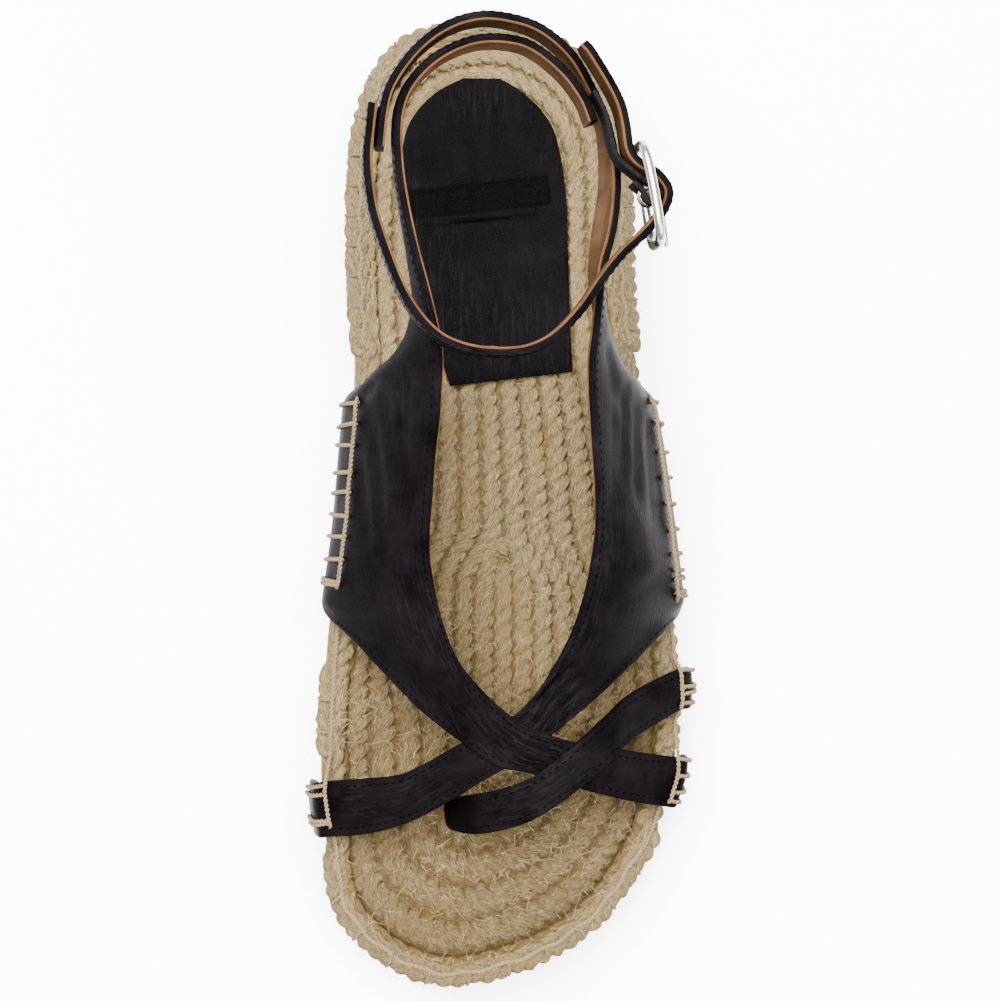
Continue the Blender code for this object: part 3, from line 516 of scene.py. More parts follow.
@dataclass
class Strap:
    """A leather strap lofted through its sections, black outside and lined inside."""

    table: Sequence[Row]
    hand: Hand
    stations: int
    proud: float = 0.0009
    drop: float = 0.0085
    shoulder_rise: float = 0.0020
    crown: float = 0.055
    wall: float = WALL
    columns: int = 12
    creases: Sequence[tuple] = ()
    sections: np.ndarray = field(init=False)

    def __post_init__(self) -> None:
        """Works out the top edge, shoulder and lower edge of every station."""
        values = spline(self.table, self.stations)
        top = share_points(values[:, 0], values[:, 1], values[:, 2])
        low = share_points(values[:, 3], values[:, 4], values[:, 5])
        shoulder = top + SHOULDER_SHARE * (low - top)
        wrap = np.clip(values[:, 6], 0, 1)[:, None]
        side = np.where(values[:, 3] > 0, 1, -1)
        x = SOLE.edge_at(side, values[:, 4])
        y = values[:, 4] * HALF_LENGTH
        height = SOLE.rim_top(values[:, 4])
        rim_shoulder = np.stack([x + side * 0.4 * self.proud, y, height + self.shoulder_rise], axis=1)
        rim_low = np.stack([x + side * self.proud, y, height - self.drop], axis=1)
        shoulder = shoulder + (rim_shoulder - shoulder) * wrap
        low = low + (rim_low - low) * wrap
        self.sections = np.stack([top, shoulder, low], axis=1)

    def surface(self) -> tuple[np.ndarray, np.ndarray, np.ndarray]:
        """The outer face.

        Returns:
            Points and outward directions by station and column, and the place across as a share by column.
        """
        top, shoulder, low = self.sections[:, 0], self.sections[:, 1], self.sections[:, 2]
        shares = np.linspace(0, 1, self.columns)
        travel = np.gradient(top + shoulder, axis=0)
        outward = unit(np.cross(travel, shoulder - top)) * self.hand.value
        bulge = self.crown * np.linalg.norm(shoulder - top, axis=1, keepdims=True)
        face = []
        for share in shares:
            upper = min(share / MEET_STEEP, 1.0)
            lower = max((share - MEET_STEEP) / (1 - MEET_STEEP), 0.0)
            face.append(top + (shoulder - top) * upper + outward * bulge * sin(pi * upper)
                        + (low - shoulder) * lower)
        points = np.stack(face, axis=1)
        normal = unit(np.cross(np.gradient(points, axis=0), np.gradient(points, axis=1))) * self.hand.value
        return points, normal, shares

    def at(self, run: float, across: float) -> tuple[np.ndarray, np.ndarray]:
        """A point of the outer face and its outward direction, from shares of the run and the width.

        Args:
            run: Share of the strap's run.
            across: Share of its width, from the upper edge.

        Returns:
            The point and the direction.
        """
        points, normal, _ = self.cached
        row = run * (self.stations - 1)
        column = across * (self.columns - 1)
        i, j = int(min(row, self.stations - 2)), int(min(column, self.columns - 2))
        u, v = row - i, column - j
        mix = [(1 - u) * (1 - v), u * (1 - v), (1 - u) * v, u * v]
        cells = [(i, j), (i + 1, j), (i, j + 1), (i + 1, j + 1)]
        spot = sum(share * points[cell] for share, cell in zip(mix, cells))
        out = sum(share * normal[cell] for share, cell in zip(mix, cells))
        return spot, out / np.linalg.norm(out)

    @property
    def cached(self) -> tuple[np.ndarray, np.ndarray, np.ndarray]:
        """The dressed face, worked out once.

        Returns:
            Points, outward directions and the place across by column.
        """
        if not hasattr(self, "_face"):
            points, normal, shares = self.surface()
            self._face = (points + normal * self.relief(points, shares)[..., None], normal, shares)
        return self._face

    def relief(self, points: np.ndarray, shares: np.ndarray) -> np.ndarray:
        """Depth of the creases, faded out towards each edge.

        Args:
            points: Points of the outer face.
            shares: Place across by column.

        Returns:
            A depth for each point, in metres.
        """
        y, x = points[..., 1] * 1000, points[..., 0] * 1000
        depth = np.zeros(points.shape[:2])
        for start, end, deep, wide in self.creases:
            line = np.subtract(end, start)
            reach = np.linalg.norm(line)
            line = line / reach
            away = np.stack([x - start[0], y - start[1]], axis=-1)
            run = away @ line / reach
            off = away @ np.array([-line[1], line[0]])
            fade = smooth_step(run, -0.15, 0.15) * (1 - smooth_step(run, 0.85, 1.15))
            depth += deep * MILLIMETRE * np.exp(-(off / wide) ** 2) * fade
        edge = smooth_step(shares, 0.0, 0.06) * (1 - smooth_step(shares, 0.94, 1.0))
        return np.minimum(CREASE_GAIN * depth, CREASE_LIMIT) * edge[None]

    def shell(self) -> tuple[np.ndarray, np.ndarray, np.ndarray]:
        """The closed strap as one sheet round its section.

        Returns:
            Points, lengths and the material slot of each column of faces.
        """
        points, normal, _ = self.cached
        inner = self.surface()[0] - normal * self.wall
        half = LEATHER_SHARE * self.wall
        profile = ((0.0010, 0.0), (0.0003, 0.0001), (0.0, 0.0006), (0.0001, half), (0.0004, half + 0.00008),
                   (0.00025, 0.87 * self.wall), (0.0005, self.wall))

        def rounded(edge: np.ndarray, out: np.ndarray, inwards: np.ndarray) -> list[np.ndarray]:
            """One edge from the outer face to the inner one: four columns of leather, then three of tan."""
            return [edge - out * down + inwards * back for back, down in profile]

        top = rounded(points[:, :1], normal[:, :1], unit(points[:, 1:2] - points[:, :1]))
        low = rounded(points[:, -1:], normal[:, -1:], unit(points[:, -2:-1] - points[:, -1:]))
        ring = top[3::-1] + [points[:, 1:-1]] + low + [inner[:, -2:0:-1]] + top[:2:-1]
        sheet = np.concatenate(ring, axis=1)
        body = self.columns - 2
        leather, lining, edge = 0, 1, 2
        slots = [leather] * (body + 7) + [edge] * 3 + [lining] * (body + 1) + [edge] * 3 + [leather]
        run = run_lengths(points[:, self.columns // 2])
        width = np.concatenate([np.zeros((len(run), 1)),
                                np.cumsum(np.linalg.norm(np.diff(sheet, axis=1), axis=2), axis=1)], axis=1)
        return sheet, grid_lengths(run, width), np.array(slots)


class Nodes:
    """Lays out the nodes of one material."""

    def __init__(self, name: str) -> None:
        """Starts a material of that name with an empty shader.

        Args:
            name: The material's name.
        """
        self.material = bpy.data.materials.new(name)
        self.material.use_nodes = True
        self.tree = self.material.node_tree
        self.shader = self.tree.nodes["Principled BSDF"]

    def put(self, kind: str, inputs: Optional[dict] = None, **settings: object) -> bpy.types.Node:
        """Adds a node.

        Args:
            kind: The node's type.
            inputs: Values or output sockets by input name or number.
            settings: The node's own properties.

        Returns:
            The node.
        """
        node = self.tree.nodes.new(kind)
        for name, value in settings.items():
            setattr(node, name, value)
        for name, value in (inputs or {}).items():
            if isinstance(value, bpy.types.NodeSocket):
                self.tree.links.new(value, node.inputs[name])
            else:
                node.inputs[name].default_value = value
        return node

    def place(self, scale: Sequence[float] = (1, 1, 1), by_length: bool = False) -> bpy.types.NodeSocket:
        """Coordinates of the object, or lengths along and across the piece, times a scale."""
        source = self.put("ShaderNodeTexCoord").outputs["UV" if by_length else "Object"]
        return self.put("ShaderNodeMapping", {"Vector": source, "Scale": tuple(scale)}).outputs["Vector"]

    def noise(self, place: bpy.types.NodeSocket, scale: float = 1.0, detail: float = 3.0,
              rough: float = 0.55, twist: float = 0.0) -> bpy.types.NodeSocket:
        """Cloudy values between 0 and 1."""
        return self.put("ShaderNodeTexNoise", {"Vector": place, "Scale": scale, "Detail": detail,
                                               "Roughness": rough, "Distortion": twist}).outputs["Fac"]

    def cells(self, place: bpy.types.NodeSocket, scale: float = 1.0,
              edge: bool = True) -> bpy.types.NodeSocket:
        """Distance to the nearest cell's edge or middle.

        Args:
            place: Coordinates.
            scale: How many cells a unit holds.
            edge: True for the distance to the edge, False for the middle.

        Returns:
            The distance's socket.
        """
        kind = "DISTANCE_TO_EDGE" if edge else "F1"
        node = self.put("ShaderNodeTexVoronoi", {"Vector": place, "Scale": scale}, feature=kind)
        return node.outputs["Distance"]

    def span(self, value: bpy.types.NodeSocket, low: float, high: float, first: float = 0.0,
             last: float = 1.0) -> bpy.types.NodeSocket:
        """A value moved from one range to another, and held there."""
        return self.put("ShaderNodeMapRange", {"Value": value, "From Min": low, "From Max": high,
                                               "To Min": first, "To Max": last}).outputs["Result"]

    def math(self, operation: str, first: object, second: object = 0.0) -> bpy.types.NodeSocket:
        """The result of a sum or comparison."""
        return self.put("ShaderNodeMath", {0: first, 1: second}, operation=operation).outputs[0]

    def blend(self, share: object, first: object, second: object, mode: str = "MIX") -> bpy.types.NodeSocket:
        """One colour turned into another, or multiplied by it, by a share.

        Args:
            share: How much of the second colour shows, a number or a socket.
            first: The first colour or its socket.
            second: The second colour or its socket.
            mode: How the two are mixed.

        Returns:
            The mixed colour's socket.
        """
        node = self.put("ShaderNodeMix", data_type="RGBA", blend_type=mode)
        sockets = [item for item in node.inputs if item.name in ("Factor", "A", "B") and item.enabled]
        for socket, value in zip(sockets, (share, first, second)):
            if isinstance(value, bpy.types.NodeSocket):
                self.tree.links.new(value, socket)
            else:
                socket.default_value = value if isinstance(value, float) else (*value, 1)
        return [item for item in node.outputs if item.type == "RGBA"][0]

    def bump(self, height: bpy.types.NodeSocket, depth: float, strength: float = 1.0,
             under: Optional[bpy.types.NodeSocket] = None) -> bpy.types.NodeSocket:
        """Small relief of that depth in metres, over another relief if one is given.

        Args:
            height: The height's socket.
            depth: The relief's full depth, in metres.
            strength: How much of it shows.
            under: Relief that it lies on.

        Returns:
            The normal's socket.
        """
        inputs = {"Height": height, "Distance": depth, "Strength": strength}
        if under is not None:
            inputs["Normal"] = under
        return self.put("ShaderNodeBump", inputs).outputs["Normal"]

    def done(self, colour: object, rough: object, normal: Optional[bpy.types.NodeSocket] = None,
             **fixed: float) -> bpy.types.Material:
        """Connects the shader.

        Args:
            colour: Base colour or its socket.
            rough: Roughness or its socket.
            normal: Relief, if any.
            fixed: Values for the shader's own sockets, with _ for a space.

        Returns:
            The material.
        """
        for name, value in (("Base Color", colour), ("Roughness", rough), ("Normal", normal)):
            if isinstance(value, bpy.types.NodeSocket):
                self.tree.links.new(value, self.shader.inputs[name])
            elif value is not None:
                self.shader.inputs[name].default_value = (*value, 1) if name == "Base Color" else value
        for name, value in fixed.items():
            self.shader.inputs[name.replace("_", " ")].default_value = value
        return self.material


@dataclass(frozen=True)
class JuteFinish:
    """Twisted jute: fibre streaks along the strand, yellow and brown tints, a few dirt patches and painted
    shade that darkens it towards the toe.
    """

    name: str
    pale: tuple = (0.218, 0.164, 0.086)
    dark: tuple = (0.044, 0.030, 0.0125)
    tint: tuple = (0.118, 0.080, 0.031)
    dirt: float = 0.35
    fibre: float = 0.00022
    # Where the painted shade starts and ends along y, and how dark it makes the jute at the toe end.
    painted_shade_reach: tuple = (0.010, -0.065)
    painted_toe_shade: float = 0.52

    def material(self) -> bpy.types.Material:
        """The finish as a material.

        Returns:
            The material.
        """
        n = Nodes(self.name)
        lengths = n.place((260, 2600, 1), by_length=True)
        streaks = n.noise(lengths, 1.0, 6.0, 0.75, 0.4)
        fine = n.noise(n.place((900, 7000, 1), by_length=True), 1.0, 3.0, 0.65, 0.5)
        broad = n.noise(n.place(), 75, 4.0, 0.6)
        patches = n.noise(n.place(), 26, 3.0, 0.55, 0.6)
        specks = n.noise(n.place(), 620, 2.0, 0.5)
        base = n.blend(n.span(streaks, 0.37, 0.63), self.dark, self.pale)
        base = n.blend(n.span(broad, 0.42, 0.72, 0.0, 0.55), base, self.tint)
        base = n.blend(n.span(patches, 0.58, 0.76, 0.0, self.dirt), base, (0.10, 0.068, 0.032))
        base = n.blend(n.span(specks, 0.715, 0.75, 0.0, 0.75), base, (0.13, 0.045, 0.018))
        # Painted shade: the colour is multiplied darker towards the toe, standing in for less light on the
        # forefoot and under the crossing straps.
        along = n.put("ShaderNodeSeparateXYZ", {"Vector": n.place()}).outputs["Y"]
        base = n.blend(n.span(along, *self.painted_shade_reach), base, (self.painted_toe_shade, self.painted_toe_shade * 0.96, self.painted_toe_shade * 0.90),
                       "MULTIPLY")
        relief = n.bump(streaks, self.fibre * 6.0, 1.0)
        relief = n.bump(fine, self.fibre * 2.5, 1.0, relief)
        return n.done(base, n.span(fine, 0.3, 0.7, 0.86, 1.0), relief, Specular_IOR_Level=0.02)


@dataclass(frozen=True)
class LeatherFinish:
    """Black leather: fine grain, soft creases, a little dust, uneven gloss and painted highlight streaks
    along the strap.
    """

    name: str
    colour: tuple = (0.0007, 0.0005, 0.0006)
    worn: tuple = (0.0026, 0.0021, 0.0026)
    rough: tuple = (0.34, 0.50)
    grain: float = 0.00010
    # Colour of the painted highlight streaks.
    painted_streak_highlight: tuple = (0.0034, 0.0030, 0.0036)
    gloss: float = 0.0012
    marks: tuple = ()

    def material(self) -> bpy.types.Material:
        """The finish as a material.

        Returns:
            The material.
        """
        n = Nodes(self.name)
        grain = n.cells(n.place(), 1650)
        broad = n.noise(n.place(), 95, 4.0, 0.6, 0.5)
        pull = n.noise(n.place((210, 900, 1), by_length=True), 1.0, 4.0, 0.6, 0.8)
        dust = n.noise(n.place(), 2600, 2.0, 0.6)
        base = n.blend(n.span(broad, 0.35, 0.75, 0.0, 0.8), self.colour, self.worn)
        # Painted highlight: the gloss mask lays paler streaks along the strap in a few patches, standing in
        # for light shining off the leather.
        painted_shine = n.noise(n.place((150, 1100, 1), by_length=True), 1.0, 5.0, 0.7, 0.6)
        patch = n.noise(n.place(), 34, 2.0, 0.5)
        gloss = n.math("MULTIPLY", n.span(painted_shine, 0.48, 0.66), n.span(patch, 0.44, 0.60))
        base = n.blend(gloss, base, self.painted_streak_highlight)
        for x, y, turn, reach, tall in self.marks:
            turned = {"Vector": n.place(), "Location": (x, y, 0), "Rotation": (0, 0, turn)}
            place = n.put("ShaderNodeMapping", turned, vector_type="TEXTURE").outputs["Vector"]
            parts = n.put("ShaderNodeSeparateXYZ", {"Vector": place}).outputs
            inside = [n.span(n.math("ABSOLUTE", parts[axis]), size - 0.0002, size + 0.0003, 1.0, 0.0)
                      for axis, size in (("X", reach), ("Y", tall))]
            share = n.math("MULTIPLY", n.math("MULTIPLY", *inside), 0.65)
            base = n.blend(share, base, (0.00015, 0.0001, 0.00015))
        base = n.blend(n.span(dust, 0.70, 0.80, 0.0, 0.5), base, (0.008, 0.007, 0.0065))
        relief = n.bump(n.span(grain, 0.0, 0.22), self.grain, 0.42)
        relief = n.bump(n.span(pull, 0.35, 0.65), self.grain * 2.0, 0.22, relief)
        rough = n.span(broad, 0.3, 0.7, *self.rough)
        return n.done(base, rough, relief, Specular_IOR_Level=self.gloss)


@dataclass(frozen=True)
class LiningFinish:
    """Tan lining: short nap, paler rubs and darker pores."""

    name: str = "tan_lining"
    colour: tuple = (0.020, 0.0102, 0.0048)
    pale: tuple = (0.038, 0.0205, 0.0100)

    def material(self) -> bpy.types.Material:
        """The finish as a material.

        Returns:
            The material.
        """
        n = Nodes(self.name)
        nap = n.noise(n.place(), 2200, 4.0, 0.7)
        rubs = n.noise(n.place(), 120, 4.0, 0.6, 0.6)
        pores = n.cells(n.place(), 900, edge=False)
        base = n.blend(n.span(rubs, 0.35, 0.7), self.colour, self.pale)
        base = n.blend(n.span(nap, 0.35, 0.7, 0.0, 0.35), base, (0.013, 0.0062, 0.0028))
        relief = n.bump(nap, 0.00018, 0.8)
        relief = n.bump(n.span(pores, 0.0, 0.35), 0.00008, 0.5, relief)
        return n.done(base, 0.92, relief, Specular_IOR_Level=0.01)


@dataclass(frozen=True)
class CordFinish:
    """Twisted thread or ribbed elastic, with fibres along it."""

    name: str
    pale: tuple
    dark: tuple
    rough: float = 0.85
    gloss: float = 0.02

    def material(self) -> bpy.types.Material:
        """The finish as a material.

        Returns:
            The material.
        """
        n = Nodes(self.name)
        fibres = n.noise(n.place((700, 9000, 1), by_length=True), 1.0, 4.0, 0.65, 0.3)
        fluff = n.noise(n.place(), 3800, 2.0, 0.6)
        base = n.blend(n.span(fibres, 0.3, 0.7), self.dark, self.pale)
        relief = n.bump(fibres, 0.00014, 0.9)
        relief = n.bump(fluff, 0.00010, 0.6, relief)
        return n.done(base, self.rough, relief, Specular_IOR_Level=self.gloss)


@dataclass(frozen=True)
class MetalFinish:
    """Plated metal with hair scratches and dulled patches."""

    name: str
    colour: tuple = (0.27, 0.26, 0.235)
    rough: tuple = (0.20, 0.40)

    def material(self) -> bpy.types.Material:
        """The finish as a material.

        Returns:
            The material.
        """
        n = Nodes(self.name)
        scratch = n.noise(n.place((260, 260, 5200)), 1.0, 3.0, 0.6)
        dull = n.noise(n.place(), 420, 4.0, 0.6)
        dulled = tuple(0.62 * part for part in self.colour)
        base = n.blend(n.span(dull, 0.4, 0.75, 0.0, 0.6), self.colour, dulled)
        relief = n.bump(scratch, 0.00003, 0.35)
        return n.done(base, n.span(dull, 0.3, 0.7, *self.rough), relief, Metallic=1.0)


@dataclass(frozen=True)
class RubberFinish:
    """Crepe rubber: amber, pitted and dusty."""

    name: str = "crepe_rubber"

    def material(self) -> bpy.types.Material:
        """The finish as a material.

        Returns:
            The material.
        """
        n = Nodes(self.name)
        crumb = n.cells(n.place(), 760, edge=False)
        cloud = n.noise(n.place(), 150, 4.0, 0.6)
        tread = n.put("ShaderNodeTexWave", {"Vector": n.place((1, 1, 0)), "Scale": 78.0, "Distortion": 0.0},
                      bands_direction="Y").outputs["Fac"]
        base = n.blend(n.span(cloud, 0.35, 0.7), (0.09, 0.054, 0.023), (0.15, 0.10, 0.046))
        relief = n.bump(n.span(crumb, 0.05, 0.6), 0.0003, 0.7)
        relief = n.bump(n.span(tread, 0.35, 0.6), 0.0005, 0.5, relief)
        return n.done(base, n.span(crumb, 0.1, 0.6, 0.62, 0.86), relief, Specular_IOR_Level=0.05)


@dataclass(frozen=True)
class FloorFinish:
    """Plain pale paper."""

    name: str = "studio_floor"

    def material(self) -> bpy.types.Material:
        """The finish as a material.

        Returns:
            The material.
        """
        n = Nodes(self.name)
        tone = n.noise(n.place(), 3.0, 2.0, 0.5)
        return n.done(n.blend(tone, (0.86, 0.855, 0.865), (0.88, 0.875, 0.885)), 0.9)


def dress(item: bpy.types.Object, slot: str, *nodes: str) -> bpy.types.Object:
    """Puts a finished piece on the body and hides the CAD nodes that it replaces.

    Args:
        item: The piece.
        slot: Not used.
        nodes: CAD nodes that the piece replaces.

    Returns:
        The piece.
    """
    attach(item, BODY)
    if nodes:
        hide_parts(*nodes)
    return item


COIL_TWIST = Twist(fullness=0.73, steps=12, lay=0.0078)
RIM_BANDS = (
    Band(0.0026, 0.0024, 0.0020, 0.0002, -1, 0.0078), Band(0.0054, 0.0017, 0.0017, 0.0006, 1, 0.0120),
    Band(0.0071, 0.0014, 0.0016, 0.0013, 1, 0.0100),
)
FLANGES = (
    Flange(-1, -0.33, 0.30), Flange(-1, -0.735, -0.53), Flange(1, -0.33, 0.30), Flange(1, -0.47, -0.305),
    Flange(1, -0.68, -0.49),
)
FLANGE_FADE = 0.03
CORE_SIDE = (
    (0.0030, 0.0), (0.0022, 0.03), (0.0030, 0.30), (0.0028, 0.6), (0.0036, 0.84), (0.0052, 0.90),
    (0.0076, 0.84),
)
CORE_TOP = (0.0, 0.12, 0.3, 0.5, 0.7, 0.9, 1.0)


def with_height(spots: np.ndarray, height: np.ndarray) -> np.ndarray:
    """Rows of x and y with their heights beside them."""
    return np.concatenate([spots, np.broadcast_to(height, spots.shape[:-1])[..., None]], axis=-1)


@dataclass
class JuteSole:
    """The coiled rope footbed, the plaited rim and the stacked ropes of the side."""

    rows: int = 6
    lens: float = 0.0080
    lens_heel: float = -0.0080
    lens_toe: float = -0.0640
    side_ropes: int = 4
    fibres: int = 5200

    def ring(self, inset: np.ndarray, count: int = RIM_STATIONS) -> np.ndarray:
        """A loop inside the edge.

        Args:
            inset: Distance from the edge by station, or one number.
            count: How many stations.

        Returns:
            Rows of x and y.
        """
        edge, spine = SOLE.loop(count)
        away = edge - spine
        reach = np.linalg.norm(away, axis=1, keepdims=True)
        return edge - away / reach * np.reshape(inset, (-1, 1))

    def row_width(self, count: int = RIM_STATIONS) -> np.ndarray:
        """Width of the coil's outer rows by station: narrower beside the inner coil of the forefoot.

        Args:
            count: How many stations.

        Returns:
            A width for each station, in metres.
        """
        edge, spine = SOLE.loop(count)
        reach = np.linalg.norm(edge - spine, axis=1)
        y = spine[:, 1]
        gap = self.lens * smooth_step(y, self.lens_toe - 0.001, self.lens_toe + 0.014)
        gap = gap * (1 - smooth_step(y, self.lens_heel - 0.015, self.lens_heel + 0.001))
        return (reach - SOLE.rim_width - gap) / self.rows

    def footbed(self, material: bpy.types.Material) -> bpy.types.Object:
        """Twisted rope rows, and the small inner coil under the ball of the foot.

        Args:
            material: Finish of the rope.

        Returns:
            The piece.
        """
        maker = MeshMaker("footbed_rope")
        width = self.row_width()
        for row in range(self.rows):
            spots = self.ring(SOLE.rim_width + (row + 0.5) * width)
            path = with_height(spots, SOLE.footbed(spots) - ROW_HEIGHT)
            smooth = np.minimum(0.505 * width, 0.0046)
            twist = replace(COIL_TWIST, sides=8)
            maker.add(*twist.sheets(path, smooth, ROW_HEIGHT, True, phase=0.7 * row, jitter=0.10, seed=row))
        maker.add(*self.inner_loop())
        maker.add(*self.inner_start())
        return dress(maker.finish([material]), "jute")

    def inner_loop(self) -> tuple[np.ndarray, np.ndarray]:
        """The closed row round the start of the coil.

        Returns:
            Points and lengths for MeshMaker.add.
        """
        half = self.lens - 0.0028
        length = (self.lens_heel - self.lens_toe) / 2 - 0.004
        turn = np.linspace(0, tau, 241)
        middle = (self.lens_heel + self.lens_toe) / 2
        y = middle + length * np.sign(np.cos(turn)) * np.abs(np.cos(turn)) ** 0.75
        x = SOLE.spine_at(y / HALF_LENGTH)[:, 0] + half * np.sign(np.sin(turn)) * np.abs(np.sin(turn)) ** 0.45
        spots = resample(np.stack([x, y], axis=1), 241)
        path = with_height(spots, SOLE.footbed(spots) - ROW_HEIGHT)
        return COIL_TWIST.sheets(path, 0.0028, ROW_HEIGHT, True, 1.1, 0.10, 21)

    def inner_start(self) -> tuple[np.ndarray, np.ndarray]:
        """The rope's own start in the middle of the coil.

        Returns:
            Points and lengths for MeshMaker.add.
        """
        y = np.linspace(self.lens_heel - 0.0075, self.lens_toe + 0.007, 90)
        x = SOLE.spine_at(y / HALF_LENGTH)[:, 0]
        spots = np.stack([x, y], axis=1)
        path = with_height(spots, SOLE.footbed(spots) - ROW_HEIGHT)
        size = 0.0026 * np.minimum(1, 0.35 + np.abs(np.linspace(0, 9, 90)))
        return COIL_TWIST.sheets(path, size, ROW_HEIGHT, False, 0.3, 0.08, 22)

    def seat(self, edge: np.ndarray) -> np.ndarray:
        """How far the rim is pressed in under the leather flanges, by station, in metres.

        Args:
            edge: Rows of the edge's x and y.

        Returns:
            A depth for each row.
        """
        along = edge[:, 1] / HALF_LENGTH
        share = np.zeros(len(edge))
        for side, first, last in FLANGES:
            here = (smooth_step(along, first - FLANGE_FADE, first)
                    * (1 - smooth_step(along, last, last + FLANGE_FADE))
                    * (np.sign(edge[:, 0] - SOLE.spine_at(along)[:, 0]) == side))
            share = np.maximum(share, here)
        return share * (WALL + 2 * CLEARANCE - 0.0009)

    def side(self, material: bpy.types.Material) -> bpy.types.Object:
        """Ropes stacked up the side, twisted to alternate hands as in a plait, and pulled in by stitches.

        Args:
            material: Finish of the rope.

        Returns:
            The piece.
        """
        maker = MeshMaker("side_rope")
        edge, _ = SOLE.loop(RIM_STATIONS)
        along = edge[:, 1] / HALF_LENGTH
        low = SOLE.jute_bottom(along)
        tall = (SOLE.rim_top(along) - low) / self.side_ropes
        press = self.seat(edge)
        for level in range(self.side_ropes):
            top = level == self.side_ropes - 1
            half = 0.0025 + 0.0001 * level
            pull = self.pull(len(edge), 0.25 * level)
            inset = half + 0.0004 + (0.0009 if level in (0, 3) else 0.0) + press + 0.0010 * pull
            spots = self.ring(inset)
            height = low + tall * (level + 0.5) - (0.0002 if top else 0)
            path = with_height(spots, height)
            twist = Twist(lay=0.0096, fullness=0.66, steps=14, sides=8, hand=1 if level % 2 else -1)
            maker.add(*twist.sheets(path, half * (1 - 0.16 * pull), 0.52 * tall * (1 - 0.12 * pull), True,
                                    0.5 * level, 0.12, 40 + level))
        return dress(maker.finish([material]), "jute")

    @staticmethod
    def pull(count: int, shift: float, pitch: float = 0.0096) -> np.ndarray:
        """Where the cross stitches pull the ropes in, from 0 to 1 by station.

        Args:
            count: How many stations.
            shift: Place of the first stitch, as a share.
            pitch: Distance between stitches, in metres.

        Returns:
            A share for each station.
        """
        knots = round(EDGE_LENGTH / pitch)
        place = np.linspace(0, knots, count) + shift
        return np.exp(-(((place % 1) - 0.5) / 0.11) ** 2)

    def rim(self, material: bpy.types.Material, golden: bpy.types.Material) -> bpy.types.Object:
        """Knotty outer plait, pale band and smooth inner strand on top of the rim.

        Args:
            material: Finish of the plait and the band.
            golden: Finish of the inner strand.

        Returns:
            The piece.
        """
        maker = MeshMaker("rim_plait")
        edge, _ = SOLE.loop(RIM_STATIONS)
        along = edge[:, 1] / HALF_LENGTH
        top = SOLE.rim_top(along)
        press = self.seat(edge)
        pull = self.pull(len(edge), 0.0)
        for number, (inset, wide, tall, drop, hand, lay) in enumerate(RIM_BANDS):
            squeeze = pull if number == 0 else 0.4 * pull
            spots = self.ring(inset + press * (1.0 if number == 0 else 0.4))
            height = top - tall - drop - 0.0006 * squeeze - 0.6 * press
            path = with_height(spots, height)
            twist = Twist(lay=lay, fullness=0.68, steps=14, sides=8, hand=hand)
            half_width, half_height = wide * (1 - 0.22 * squeeze), tall * (1 - 0.1 * squeeze)
            points, lengths = twist.sheets(path, half_width, half_height, True, number, 0.14, 60 + number)
            maker.add(points, lengths, slots=np.full(8, float(number == 2)))
        return dress(maker.finish([material, golden]), "jute")

    def core(self, material: bpy.types.Material) -> bpy.types.Object:
        """The closed body under the ropes, which shows only in the grooves, where its darker jute is painted
        shade.

        Args:
            material: Finish of the grooves: darker jute, as painted shade.

        Returns:
            The piece.
        """
        maker = MeshMaker("jute_core")
        count = 241
        edge, spine = SOLE.loop(count)
        away = edge - spine
        reach = np.linalg.norm(away, axis=1, keepdims=True)
        along = edge[:, 1] / HALF_LENGTH
        low, top = SOLE.jute_bottom(along), SOLE.rim_top(along)
        press = self.seat(edge)
        rings = [with_height(spine, SOLE.jute_bottom(spine[:, 1] / HALF_LENGTH))]
        for inset, share in CORE_SIDE:
            spots = edge - away / reach * (inset + press[:, None])
            rings.append(with_height(spots, low + share * (top - low)))
        for share in CORE_TOP:
            spots = spine + away * (1 - 0.0084 / reach) * (1 - share)
            rings.append(with_height(spots, SOLE.footbed(spots) - 0.0021))
        points = np.array(rings)
        lengths = grid_lengths(np.linspace(0, 0.1, len(rings)), np.linspace(0, EDGE_LENGTH, count))[..., ::-1]
        maker.add(points, lengths, flip=True)
        return dress(maker.finish([material], merge=1e-6), "jute", "jute_sole")

    def thread(self, material: bpy.types.Material) -> bpy.types.Object:
        """The pale thread round the rim in its groove, with the cross stitches over the outer plait.

        Args:
            material: Finish of the thread.

        Returns:
            The piece.
        """
        maker = MeshMaker("rim_thread")
        edge, spine = SOLE.loop(RIM_STATIONS)
        along = edge[:, 1] / HALF_LENGTH
        top = SOLE.rim_top(along)
        press = self.seat(edge)
        wave = 0.00035 * np.sin(np.linspace(0, tau * 64, RIM_STATIONS))
        spots = self.ring(0.0043 + wave + press * 0.4)
        path = with_height(spots, top - 0.0004 - 0.9 * press)
        maker.add(*Twist(lay=0.0026, sides=5, steps=6).sheets(path, 0.00062, 0.00055, True))
        away = unit(edge - spine)
        for place in np.nonzero(np.diff(np.floor(np.linspace(0, 65, RIM_STATIONS) + 0.5)))[0]:
            if press[place] > 0.0002:
                continue
            out = np.array([*away[place], 0.0])
            start = np.array([*spots[place], top[place] - 0.0006])
            base = np.array([*edge[place], 0.0])
            line = np.array([start, base - out * 0.0030 + [0, 0, top[place] - 0.0002],
                             base - out * 0.0014 + [0, 0, top[place] - 0.0010],
                             base - out * 0.0006 + [0, 0, top[place] - 0.0030],
                             base - out * 0.0010 + [0, 0, top[place] - 0.0050]])
            maker.add(*Twist(lay=0.0026, sides=4, steps=5).sheets(spline(line, 12), 0.0005, 0.0005, False))
        return dress(maker.finish([material]), "jute")

